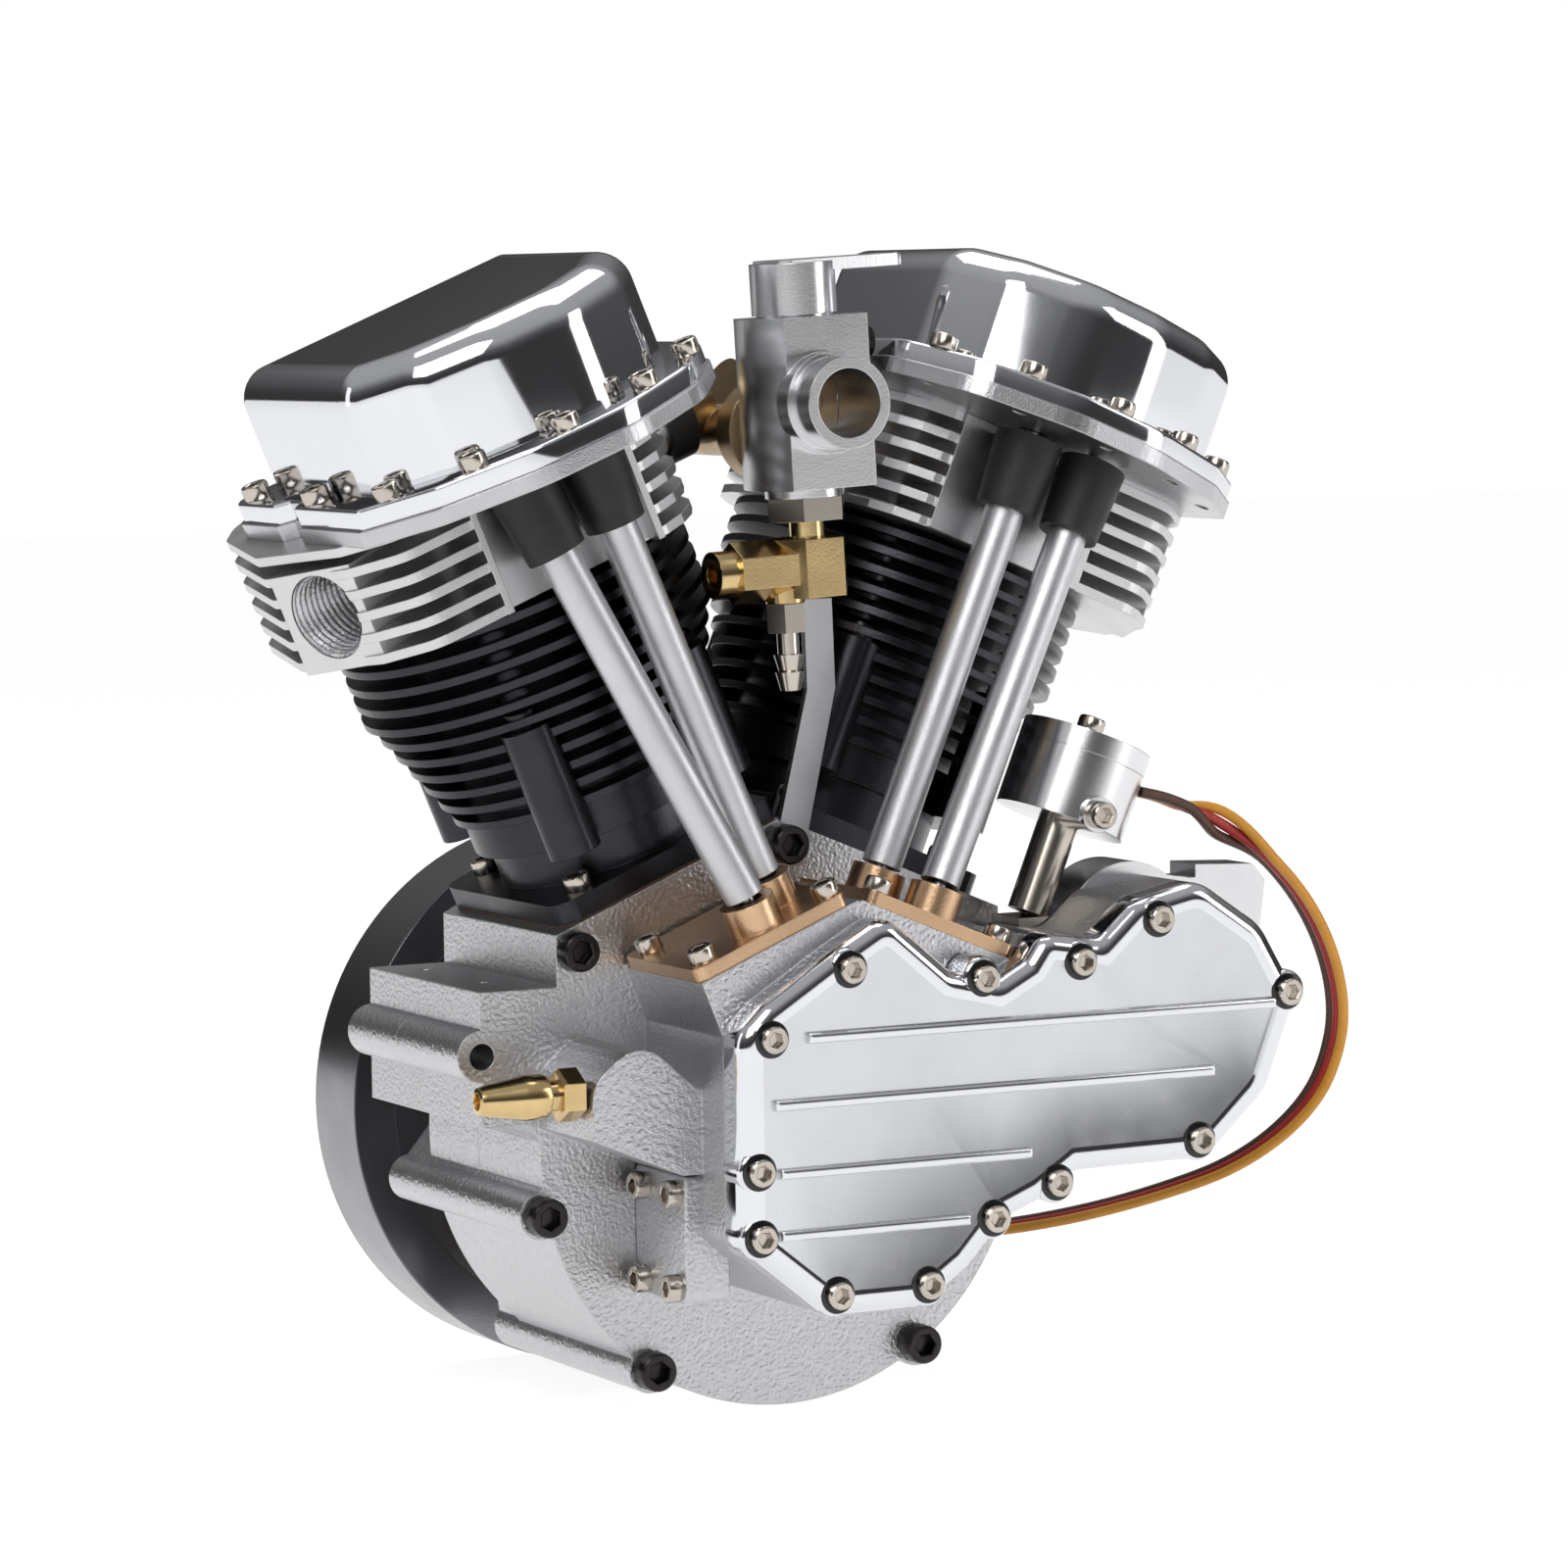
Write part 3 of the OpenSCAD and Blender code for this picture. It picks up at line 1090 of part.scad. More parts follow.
// The arms of the manifold run from the sleeves to the middle of the engine
arm_share = 0.8;
arm_out = (deck_h + inlet_w) * tan(bank_angle) - manifold_r * arm_share;
manifold_drop = 4;
manifold_flange = [7, 4];
manifold_end = 6;
manifold_wall = 1.4;
arm_wall = 1.7;
sleeve_wall = 3;
sleeve_gap = 0.05;
module intake_manifold() color("tan") {
    y = carb_at[1] + carb_depth;
    on_crank() difference() {
        translate([0, 0, carb_at.z - manifold_drop]) {
            translate([carb_at.x, 0, 0]) bar(manifold_flange.x, y, y + manifold_flange.y);
            translate([manifold_x, 0, 0]) bar(manifold_r, y + over, manifold_end);
        }
        translate([manifold_x, 0, carb_at.z - manifold_drop]) bar(manifold_r - manifold_wall, y - over,
            manifold_end / 2);
    }
    for (s = [-1, 1]) on_cylinder(s) translate([-arm_out, 0, deck_h + inlet_w]) rotate([0, 90, 0])
        cylinder(h = arm_out - sleeve_out + sleeve_in, d = inlet_port_d + 2 * arm_wall);
}
module manifold_sleeves() color("#202020") for (s = [-1, 1]) on_cylinder(s)
    translate([-sleeve_out, 0, deck_h + inlet_w]) rotate([0, 90, 0]) difference() {
        cylinder(h = sleeve_l, d = inlet_port_d + 2 * sleeve_wall);
        translate([0, 0, -over]) cylinder(h = sleeve_l + 2 * over,
            d = inlet_port_d + 2 * inlet_wall + 2 * sleeve_gap);
    }

// Fittings under the carburettor
fitting_y = carb_depth / 2;
carb_nut = [11.6, 3.2];
carb_nut_bore = 5;
elbow_neck = [4.9, 6];
elbow_block = [11.4, 8];
elbow_foot = 13.6;
elbow_arm_z = 9.6;
elbow_hex = [8.6, 12];
elbow_pipe = [6.4, 15];
elbow_socket = 5.4;
elbow_bore = [3, 6];
module carburettor_nut() color("gainsboro") on_carb() translate([0, fitting_y,
    -carb_h / 2 - carb_foot.y - carb_nut.y]) difference() {
    cylinder(h = carb_nut.y, d = carb_nut.x, $fn = 6);
    translate([0, 0, -over]) cylinder(h = carb_nut.y + 2 * over, d = carb_nut_bore);
}
module fuel_elbow() color("goldenrod") on_carb() translate([0, fitting_y, -carb_h / 2 - carb_foot.y])
    difference() {
    union() {
        translate([0, 0, -elbow_neck.y]) cylinder(h = elbow_neck.y - run_gap, d = elbow_neck.x);
        translate([0, 0, -elbow_foot]) cylinder(h = elbow_block.y, d = elbow_block.x, $fn = 6);
        translate([0, 0, -elbow_arm_z]) rotate([0, -90, 0]) cylinder(h = elbow_hex.y, d = elbow_hex.x,
            $fn = 6);
        translate([0, 0, -elbow_arm_z]) rotate([0, -90, 0]) cylinder(h = elbow_pipe.y, d = elbow_pipe.x);
        translate([-nipple_x, 0, -elbow_arm_z - nipple_drop]) cylinder(h = nipple_drop, d = elbow_socket);
    }
    translate([-elbow_hex.y, 0, -elbow_arm_z]) rotate([0, -90, 0]) cylinder(h = elbow_bore.y,
        d = elbow_bore.x);
}
nipple_x = 4;
nipple_drop = 4.6;
// Fuel nipple: hexagon, neck and two barbs, from the top down
fuel_hex = [6, 4];
fuel_nipple_z = -carb_h / 2 - carb_foot.y - elbow_arm_z - nipple_drop - run_gap - fuel_hex.y;
fuel_neck = [3, 3];
fuel_barb = [3, 4.2, 2.4];
fuel_tip = [2.8, 4, 2.6];
module fuel_nipple() color("gainsboro") on_carb()
    translate([-nipple_x, fitting_y, fuel_nipple_z]) {
        cylinder(h = fuel_hex.y, d = fuel_hex.x, $fn = 6);
        translate([0, 0, -fuel_neck.y]) cylinder(h = fuel_neck.y, d = fuel_neck.x);
        translate([0, 0, -fuel_neck.y - fuel_barb.z]) cylinder(h = fuel_barb.z, d1 = fuel_barb.x,
            d2 = fuel_barb.y);
        translate([0, 0, -fuel_neck.y - fuel_barb.z - fuel_tip.z]) cylinder(h = fuel_tip.z, d1 = fuel_tip.x,
            d2 = fuel_tip.y);
    }
strip_t = 1;
strip_w = 6;
strip_end = 3.1;
strip_drop = 27;
strip_low = case_screws[0].y - strip_end;
strip_high = carb_at.z - strip_drop;
// Outline of the strip, as shares of its width and of its height
strip_shares = [[-0.5, 0], [0.5, 0], [0.67, 0.142], [1.4, 0.661], [1.333, 1], [0.6, 1], [0.667, 0.661],
    [-0.1, 0.142]];
module support_strip() color("gainsboro") on_crank() {
    translate([0, -case_front, 0]) slab(-strip_t, 0) difference() {
        polygon([for (p = strip_shares) [p[0] * strip_w, strip_low + p[1] * (strip_high - strip_low)]]);
        translate(case_screws[0]) circle(r = large_screw_d / 2 + screw_gap);
    }
}

// Ignition housing on its post, tilted like the right cylinder
ignition_at = [35.2, -27.8, 30.8];
ignition_foot = 12.5;
clamp_boss = 0.8;
clamp_z = 14.2;
clamp_d = 5;
clamp_bore = 8;
cap_t = 3;
ignition_wall = 1.5;
slot_z = 8;
wire_slot = [6, 6, 2.4];
post_in = 1;
post_up = 5;
post_foot = [6.4, 7.8, 7.4];
post_foot_drop = 8.6;
module on_ignition() on_crank() translate(ignition_at) rotate([0, bank_angle, 0]) children();
module ignition_housing() color("silver") on_ignition() difference() {
    union() {
        translate([0, 0, ignition_foot]) cylinder(h = ignition_h - cap_t, d = ignition_d);
        translate([0, 0, clamp_z]) rotate([90, 0, 0]) cylinder(h = ignition_d / 2 + clamp_boss, d = clamp_d);
    }
    translate([0, 0, ignition_foot + cap_t]) cylinder(h = ignition_h, d = ignition_d - 2 * ignition_wall);
    cylinder(h = ignition_h * 2, r = post_r + run_gap);
    translate([0, -ignition_d / 2, clamp_z]) rotate([90, 0, 0])
        cylinder(h = clamp_bore, r = small_screw_d / 2 + screw_gap, center = true);
    translate([ignition_d / 2, 0, ignition_foot + slot_z]) cube(wire_slot, center = true);
}
post_r = 2.9;
module ignition_cap() color("silver") on_ignition() translate([0, 0, ignition_foot + ignition_h - cap_t])
    difference() {
    cylinder(h = cap_t, d = ignition_d);
    translate([cap_screw_at.x, cap_screw_at.y, -over]) cylinder(h = cap_t + 2 * over,
        r = small_screw_d / 2 + screw_gap);
}
module ignition_post() color("gainsboro") {
    on_crank() translate([wing_x + seat_gap, ignition_at.y - post_foot.y / 2,
        ignition_at.z - post_foot_drop]) cube(post_foot);
    on_ignition() {
        translate([0, 0, -post_in]) cylinder(h = ignition_foot + post_up, r = post_r);
    }
}

// Spark plug: thread, hexagon and insulator, as distances along its axis
plug_thread = [6, 14];
plug_hex = [9.2, 5];
plug_hex_z = 27.6;
plug_core = [5, 22];
plug_core_z = 19;
module spark_plugs() color("white") for (s = [-1, 1]) on_cylinder(s)
    translate([0, spark_y, deck_h + spark_foot]) rotate([-spark_tilt, 0, 0]) {
        translate([0, 0, plug_thread.x]) cylinder(h = plug_thread.y, d = spark_thread_d - 2 * run_gap);
        translate([0, 0, plug_hex_z]) cylinder(h = plug_hex.y, d = plug_hex.x, $fn = 6);
        translate([0, 0, plug_core_z]) cylinder(h = plug_core.y, d = plug_core.x);
    }

// Three wires from the ignition housing, swept along hand-picked points
wire_route = [[52.2, -27.8, 31.5], [56.5, -27.8, 30.4], [61, -27.8, 28.6], [66, -27.8, 26.4], [73, -27.8,
    21.8],
              [79, -27.8, 15.6], [83.2, -27.8, 8.6], [85.8, -27.2, 1], [86.3, -26, -6], [84.4, -24, -13.4],
              [80, -21, -19.6], [73.6, -17, -24.6], [66, -11, -28.4], [57.6, -4, -31.6], [50, 4, -34],
              [42, 13, -35.8], [34, 19.2, -35.8], [26, 20, -33.4], [18, 19.8, -30.4], [6.4, 19.6, -27.8]];
wire_sides = 8;
function along(i) = let (n = len(wire_route) - 1, a = wire_route[max(i - 1, 0)], b = wire_route[min(i + 1,
    n)]) unit(b - a);
function ring(p, t, r) =
    let (u = unit(cross(t, [0.1, 1, 0])), v = cross(t, u))
    [for (k = [0:wire_sides - 1]) p + r * (u * cos(360 * k / wire_sides) + v * sin(360 * k / wire_sides))];
// Sideways direction that keeps the wires next to each other
function beside(i) = let (t = along(i), y = [0, 1, 0]) unit(y - (y * t) * t);
module wire(place) {
    n = len(wire_route);
    pts = [for (i = [0:n - 1]) each ring(wire_route[i] + place * wire_pitch * beside(i), along(i),
        wire_d / 2)];
    faces = [
        [for (k = [0:wire_sides - 1]) k],
        for (i = [0:n - 2], k = [0:wire_sides - 1])
            let (a = i * wire_sides + k, b = i * wire_sides + (k + 1) % wire_sides)
            [a, a + wire_sides, b + wire_sides, b],
        [for (k = [wire_sides - 1:-1:0]) (n - 1) * wire_sides + k]];
    polyhedron(pts, faces);
}
wire_gap = 0.15;
wire_pitch = wire_d + wire_gap;
module wire_brown() color("saddlebrown") wire(-1);
module wire_red() color("firebrick") wire(0);
module wire_yellow() color("orange") wire(1);
// Spare wire wound into a hank behind the crankcase, with its plug beside it
hank_at = [0, 19.6, -36.5];
hank_r = 9.5;
hank_hole_r = 5.2;
hank_w = 5;
plug_size = [7.6, 12, 2.6];
plug_socket_d = 1.1;
plug_socket_l = 4;
plug_pitch = 2.5;
module wire_hank() color("saddlebrown") translate(hank_at) tube_y(hank_r, hank_hole_r, -hank_w / 2,
    hank_w / 2);
module wire_plug() color("#202020") translate(hank_at + [0, plug_size.y / 2 - hank_w / 2, 0]) difference() {
    cube(plug_size, center = true);
    for (x = [-1:1]) translate([x * plug_pitch, 0, 0])
        bar(plug_socket_d / 2, plug_size.y / 2 - plug_socket_l, plug_size.y / 2 + over);
}

crankcase_front();
crankcase_rear();
black_screws();
silver_screws();
timing_cover();
side_cover();
breather_nipple();
main_bearings();
crankshaft();
flywheel();
flywheel_nut();
camshaft();
inner_idler_gear();
outer_idler_gear();
accessory_gear();
accessory_housing();
rod_left();
rod_right();
piston_left();
piston_right();
wrist_pin_left();
wrist_pin_right();
cylinder_left();
cylinder_right();
base_gaskets();
head_left();
head_right();
rocker_plate_left();
rocker_plate_right();
rocker_cover_left();
rocker_cover_right();
pushrod_tubes();
pushrod_boots();
tappet_plates();
front_pushrod_left();
rear_pushrod_left();
front_pushrod_right();
rear_pushrod_right();
carburettor();
throttle_barrel();
needle_screw();
intake_manifold();
manifold_sleeves();
carburettor_nut();
fuel_elbow();
fuel_nipple();
support_strip();
ignition_housing();
ignition_cap();
ignition_post();
spark_plugs();
wire_brown();
wire_red();
wire_yellow();
wire_hank();
wire_plug();
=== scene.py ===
import bmesh
import bpy
import math
from mathutils import Matrix, Vector


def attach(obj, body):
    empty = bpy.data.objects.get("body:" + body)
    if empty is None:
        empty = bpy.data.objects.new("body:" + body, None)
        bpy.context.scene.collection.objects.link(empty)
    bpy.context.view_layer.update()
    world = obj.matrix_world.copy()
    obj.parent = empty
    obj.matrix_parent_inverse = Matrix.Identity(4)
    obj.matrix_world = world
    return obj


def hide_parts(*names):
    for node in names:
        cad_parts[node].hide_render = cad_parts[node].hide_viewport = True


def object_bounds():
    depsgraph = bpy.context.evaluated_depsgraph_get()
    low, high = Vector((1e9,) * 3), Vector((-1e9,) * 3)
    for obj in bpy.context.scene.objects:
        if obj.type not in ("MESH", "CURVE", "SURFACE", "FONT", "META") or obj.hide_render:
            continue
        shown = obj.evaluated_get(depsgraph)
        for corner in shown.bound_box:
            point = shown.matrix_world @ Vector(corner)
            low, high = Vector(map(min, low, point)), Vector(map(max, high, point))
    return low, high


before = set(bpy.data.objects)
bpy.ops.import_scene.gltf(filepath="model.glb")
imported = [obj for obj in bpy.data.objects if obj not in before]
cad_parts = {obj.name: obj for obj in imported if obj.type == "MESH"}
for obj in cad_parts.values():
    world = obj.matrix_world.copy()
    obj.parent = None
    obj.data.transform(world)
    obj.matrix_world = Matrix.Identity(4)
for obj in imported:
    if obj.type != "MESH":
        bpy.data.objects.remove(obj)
cad_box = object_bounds()

MM = 0.001

# Camera, fitted to the photo in the frame of the part
CAMERA_AT = Vector((-380.24, -756.91, 102.10)) * MM
CAMERA_RIGHT = Vector((0.88759, -0.46044, -0.01358))
CAMERA_UP = Vector((0.04943, 0.06588, 0.99660))
CAMERA_BACK = Vector((-0.45798, -0.88524, 0.08124))
CAMERA_LENS = 139.06
SENSOR = 36.0

scene = bpy.context.scene
camera_data = bpy.data.cameras.new("camera")
camera_data.lens = CAMERA_LENS
camera_data.sensor_width = SENSOR
camera_data.clip_start = 0.05
camera_data.clip_end = 20
camera = bpy.data.objects.new("camera", camera_data)
camera.matrix_world = Matrix.Translation(CAMERA_AT) @ Matrix(
    (CAMERA_RIGHT, CAMERA_UP, CAMERA_BACK)).transposed().to_4x4()
scene.collection.objects.link(camera)
scene.camera = camera
scene.view_settings.view_transform = "Standard"


# Materials are built from nodes by a few small helpers
class Shader:
    def __init__(self, name):
        self.material = bpy.data.materials.new(name)
        self.material.use_nodes = True
        self.tree = self.material.node_tree
        self.nodes = self.tree.nodes
        self.nodes.clear()
        self.output = self.nodes.new("ShaderNodeOutputMaterial")
        self.shader = self.nodes.new("ShaderNodeBsdfPrincipled")
        self.link(self.shader.outputs[0], self.output.inputs[0])
        self.geometry = self.nodes.new("ShaderNodeNewGeometry")

    def link(self, a, b):
        self.tree.links.new(a, b)

    def set(self, name, value):
        self.shader.inputs[name].default_value = value

    def math(self, kind, a, b=0.0, c=0.0):
        node = self.nodes.new("ShaderNodeMath")
        node.operation = kind
        for i, value in enumerate((a, b, c)):
            if isinstance(value, (int, float)):
                node.inputs[i].default_value = value
            else:
                self.link(value, node.inputs[i])
        return node.outputs[0]

    def noise(self, size, detail=2.0, stretch=(1, 1, 1)):
        mapping = self.nodes.new("ShaderNodeMapping")
        mapping.inputs["Scale"].default_value = [s / size for s in stretch]
        self.link(self.geometry.outputs["Position"], mapping.inputs[0])
        node = self.nodes.new("ShaderNodeTexNoise")
        node.inputs["Scale"].default_value = 1.0
        node.inputs["Detail"].default_value = detail
        self.link(mapping.outputs[0], node.inputs["Vector"])
        return node.outputs["Fac"]

    def remap(self, value, low, high, to_low, to_high):
        node = self.nodes.new("ShaderNodeMapRange")
        node.inputs["From Min"].default_value = low
        node.inputs["From Max"].default_value = high
        node.inputs["To Min"].default_value = to_low
        node.inputs["To Max"].default_value = to_high
        self.link(value, node.inputs["Value"])
        return node.outputs["Result"]

    def mix(self, factor, a, b):
        node = self.nodes.new("ShaderNodeMix")
        node.data_type = "RGBA"
        self.link(factor, node.inputs["Factor"])
        for socket, value in ((node.inputs[6], a), (node.inputs[7], b)):
            if isinstance(value, (tuple, list)):
                socket.default_value = (*value, 1) if len(value) == 3 else value
            else:
                self.link(value, socket)
        return node.outputs[2]

    def bump(self, height, strength, distance, edge=0.0):
        node = self.nodes.new("ShaderNodeBump")
        node.inputs["Strength"].default_value = strength
        node.inputs["Distance"].default_value = distance
        self.link(height, node.inputs["Height"])
        if edge:
            self.link(self.soft_edge(edge), node.inputs["Normal"])
        self.link(node.outputs[0], self.shader.inputs["Normal"])

    def show_white(self, level, shaded):
        """Pale to the camera and in reflections, with the shadow kept, and plain to every other ray."""
        paths = self.nodes.new("ShaderNodeLightPath")
        seen = self.math("MAXIMUM", paths.outputs["Is Camera Ray"], paths.outputs["Is Glossy Ray"])
        seen = self.math("MAXIMUM", seen, paths.outputs["Is Transmission Ray"])
        glow = self.nodes.new("ShaderNodeEmission")
        glow.inputs["Color"].default_value = (1, 1, 1, 1)
        glow.inputs["Strength"].default_value = level
        matt = self.nodes.new("ShaderNodeBsdfDiffuse")
        matt.inputs["Color"].default_value = (shaded, shaded, shaded, 1)
        both = self.nodes.new("ShaderNodeAddShader")
        self.link(glow.outputs[0], both.inputs[0])
        self.link(matt.outputs[0], both.inputs[1])
        mixer = self.nodes.new("ShaderNodeMixShader")
        self.link(seen, mixer.inputs[0])
        self.link(self.shader.outputs[0], mixer.inputs[1])
        self.link(both.outputs[0], mixer.inputs[2])
        self.link(mixer.outputs[0], self.output.inputs[0])

    def soft_edge(self, radius):
        node = self.nodes.new("ShaderNodeBevel")
        node.samples = 4
        node.inputs["Radius"].default_value = radius
        return node.outputs[0]


def metal(name, colour, roughness, grain=0.0, grain_size=0.0004, edge=0.0002, worn=0.0, wear_size=0.006):
    """A plain metal with fine grain, soft edges and slightly uneven polish."""
    m = Shader(name)
    m.set("Metallic", 1.0)
    tone = m.noise(wear_size, 3.0)
    worn_colour = [c * (1 - worn) for c in colour]
    m.link(m.mix(m.remap(tone, 0.3, 0.7, 0, 1), worn_colour, colour), m.shader.inputs["Base Color"])
    m.link(m.remap(tone, 0.3, 0.7, roughness * 1.1, roughness * 0.9), m.shader.inputs["Roughness"])
    if grain:
        m.bump(m.noise(grain_size, 1.0), grain, grain_size * 0.2, edge)
    else:
        m.link(m.soft_edge(edge), m.shader.inputs["Normal"])
    return m


def plain(name, colour, roughness, grain=0.15, grain_size=0.0006, edge=0.0002):
    """A material with no metal in it: rubber, plastic or fibre."""
    m = Shader(name)
    tone = m.noise(0.004, 3.0)
    dull_colour = [c * 0.85 for c in colour]
    m.link(m.mix(m.remap(tone, 0.3, 0.7, 0, 1), dull_colour, colour), m.shader.inputs["Base Color"])
    m.link(m.remap(tone, 0.3, 0.7, roughness * 1.1, roughness * 0.9), m.shader.inputs["Roughness"])
    m.bump(m.noise(grain_size, 1.0), grain, grain_size * 0.2, edge)
    return m


blasted = metal("blasted_aluminium", (0.58, 0.58, 0.595), 0.36, 1.0, 0.0006, 0.0004, 0.06, 0.0008)
head_metal = metal("head_aluminium", (0.64, 0.64, 0.65), 0.36, 0.5, 0.00026, 0.0002, 0.04)
plate_metal = metal("plate_aluminium", (0.55, 0.55, 0.565), 0.3, 0.5, 0.00028, 0.0004, 0.08)
chrome = metal("chrome", (0.72, 0.73, 0.76), 0.07, 0.0, 0.0004, 0.0003, 0.02)
# Dark metal colour given to the flat top of each rocker cover dome
dark_top_metal = metal("dark_dome_top", (0.13, 0.13, 0.14), 0.2, 0.15, 0.0003, 0.0002, 0.1)
satin = metal("satin_aluminium", (0.5, 0.5, 0.52), 0.34, 0.4, 0.00025, 0.0002, 0.06)
face_metal = metal("satin_face", (0.62, 0.63, 0.655), 0.26, 0.0, 0.0003, 0.0002, 0.03)
turned = metal("turned_aluminium", (0.74, 0.74, 0.755), 0.24, 0.1, 0.0003, 0.0002, 0.04)
warm_steel = metal("screw_steel", (0.56, 0.51, 0.45), 0.2, 0.0, 0.0003, 0.00012, 0.1)
dark_steel = metal("flywheel_steel", (0.27, 0.27, 0.285), 0.24, 0.15, 0.0003, 0.0004, 0.1)
ground_steel = metal("ground_steel", (0.4, 0.4, 0.41), 0.26, 0.15, 0.0003, 0.0002, 0.08)
brass = metal("brass", (0.72, 0.53, 0.26), 0.18, 0.05, 0.0004, 0.0002, 0.2)
oxide = metal("black_oxide", (0.045, 0.04, 0.042), 0.3, 0.2, 0.0004, 0.00015, 0.2)
anodised = metal("black_fins", (0.045, 0.045, 0.052), 0.3, 0.3, 0.0003, 0.0002, 0.15)
rubber = plain("rubber", (0.012, 0.012, 0.013), 0.55)
fibre = plain("gasket_fibre", (0.05, 0.03, 0.02), 0.8)
bronze = metal("bronze", (0.66, 0.44, 0.27), 0.3, 0.35, 0.00035, 0.0003, 0.15)
tube_metal = metal("tube_metal", (0.6, 0.6, 0.62), 0.42, 0.6, 0.00025, 0.0002, 0.05)
manifold_metal = metal("manifold_metal", (0.5, 0.36, 0.2), 0.35, 0.3, 0.0003, 0.0002, 0.3)
# Glossy black for the rings of painted shade round the timing cover screw heads
painted_gap_shade = plain("painted_gap_shade_black", (0.012, 0.012, 0.013), 0.12, 0.02)
ceramic = plain("plug_ceramic", (0.8, 0.79, 0.76), 0.2, 0.02)
black_plastic = plain("plug_plastic", (0.02, 0.02, 0.02), 0.4)
brown_wire = plain("brown_wire", (0.09, 0.035, 0.02), 0.42, 0.05)
red_wire = plain("red_wire", (0.42, 0.02, 0.015), 0.38, 0.05)
yellow_wire = plain("yellow_wire", (0.72, 0.32, 0.03), 0.38, 0.05)

FINISH = {
    "crankcase_front": blasted, "crankcase_rear": blasted, "side_cover": satin, "timing_cover": face_metal,
    "black_screws": oxide, "silver_screws": warm_steel, "breather_nipple": brass, "main_bearings": ground_steel,
    "crankshaft": ground_steel, "flywheel": dark_steel, "flywheel_nut": warm_steel, "camshaft": ground_steel,
    "inner_idler_gear": ground_steel, "outer_idler_gear": ground_steel, "accessory_gear": ground_steel,
    "accessory_housing": turned, "rod_left": satin, "rod_right": satin, "piston_left": satin,
    "piston_right": satin, "wrist_pin_left": ground_steel, "wrist_pin_right": ground_steel,
    "cylinder_left": anodised, "cylinder_right": anodised, "base_gaskets": fibre, "head_left": head_metal,
    "head_right": head_metal, "rocker_plate_left": plate_metal, "rocker_plate_right": plate_metal,
    "rocker_cover_left": chrome, "rocker_cover_right": chrome, "pushrod_tubes": tube_metal,
    "pushrod_boots": rubber, "tappet_plates": bronze, "front_pushrod_left": ground_steel,
    "rear_pushrod_left": ground_steel, "front_pushrod_right": ground_steel, "rear_pushrod_right": ground_steel,
    "carburettor": turned, "throttle_barrel": turned, "needle_screw": oxide, "intake_manifold": manifold_metal,
    "manifold_sleeves": rubber, "carburettor_nut": warm_steel, "fuel_elbow": brass, "fuel_nipple": warm_steel,
    "support_strip": satin, "ignition_housing": turned, "ignition_cap": turned, "ignition_post": warm_steel,
    "spark_plugs": ceramic,
}
for name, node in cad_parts.items():
    finish = FINISH.get(name, ground_steel)
    node.data.materials.clear()
    node.data.materials.append(finish.material)


# Edges over these angles in degrees stay sharp on skins and on turned pieces
SKIN_SHARP = 32
TURNED_SHARP = 28


def link_mesh(name, verts, faces, materials, sharp=TURNED_SHARP, slots=None, smooth=True, mend_normals=False):
    """Mesh object with the given materials, whose edges over an angle in degrees stay sharp."""
    mesh = bpy.data.meshes.new(name)
    mesh.from_pydata(verts, [], faces)
    for material in materials:
        mesh.materials.append(material.material)
    for index, face in enumerate(mesh.polygons):
        face.use_smooth = smooth
        if slots:
            face.material_index = slots[index]
    if mend_normals:
        tool = bmesh.new()
        tool.from_mesh(mesh)
        bmesh.ops.recalc_face_normals(tool, faces=tool.faces)
        tool.to_mesh(mesh)
        tool.free()
    if smooth:
        mesh.set_sharp_from_angle(angle=math.radians(sharp))
    piece = bpy.data.objects.new(name, mesh)
    scene.collection.objects.link(piece)
    return piece


# Outlines with round corners, as in the solids: points are (x, y, corner radius), listed clockwise
def rounded(points, steps=8):
    line = []
    for i, (x, y, r) in enumerate(points):
        p = Vector((x, y))
        a = Vector(points[i - 1][:2])
        b = Vector(points[(i + 1) % len(points)][:2])
        u, v = (a - p).normalized(), (b - p).normalized()
        r = max(r, 0.05)
        half = math.acos(max(-1, min(1, u.dot(v)))) / 2
        centre = p + (u + v).normalized() * r / math.sin(half)
        start = p + u * r / math.tan(half) - centre
        end = p + v * r / math.tan(half) - centre
        first = math.atan2(start.y, start.x)
        sweep = (math.atan2(end.y, end.x) - first + math.pi) % math.tau - math.pi
        for k in range(steps + 1):
            angle = first + sweep * k / steps
            line.append(centre + Vector((math.cos(angle), math.sin(angle))) * r)
    return line


def inset(points, d):
    moved = []
    for i, (x, y, r) in enumerate(points):
        p = Vector((x, y))
        u = (p - Vector(points[i - 1][:2])).normalized()
        v = (Vector(points[(i + 1) % len(points)][:2]) - p).normalized()
        side = Vector((u.y, -u.x))
        n = (side + Vector((v.y, -v.x))).normalized()
        q = p + n * d / n.dot(side)
        moved.append((q.x, q.y, max(r - d, 0)))
    return moved


def shell(name, points, profile, place, materials, top_material=0, steps=8):
    """Solid skin over rings of an outline; the profile lists (inset, height, material), bottom first."""
    verts, faces, slots = [], [], []
    for d, height, _ in profile:
        verts += [place(p.x, p.y, height) for p in rounded(inset(points, d), steps)]
    count = len(verts) // len(profile)
    for level in range(len(profile) - 1):
        for i in range(count):
            a, b = level * count + i, level * count + (i + 1) % count
            faces.append((a, b, b + count, a + count))
            slots.append(profile[level + 1][2])
    faces.append(tuple(range(count)))
    faces.append(tuple(range(len(verts) - count, len(verts))))
    slots += [0, top_material]
    return link_mesh(name, verts, faces, materials, SKIN_SHARP, slots, mend_normals=True)


def quarter(radius, steps, height):
    """Profile of a rounded top edge that ends at the given height."""
    turns = [math.radians(90 * k / steps) for k in range(steps + 1)]
    return [(radius * (1 - math.cos(turn)), height - radius * (1 - math.sin(turn)), 0) for turn in turns]


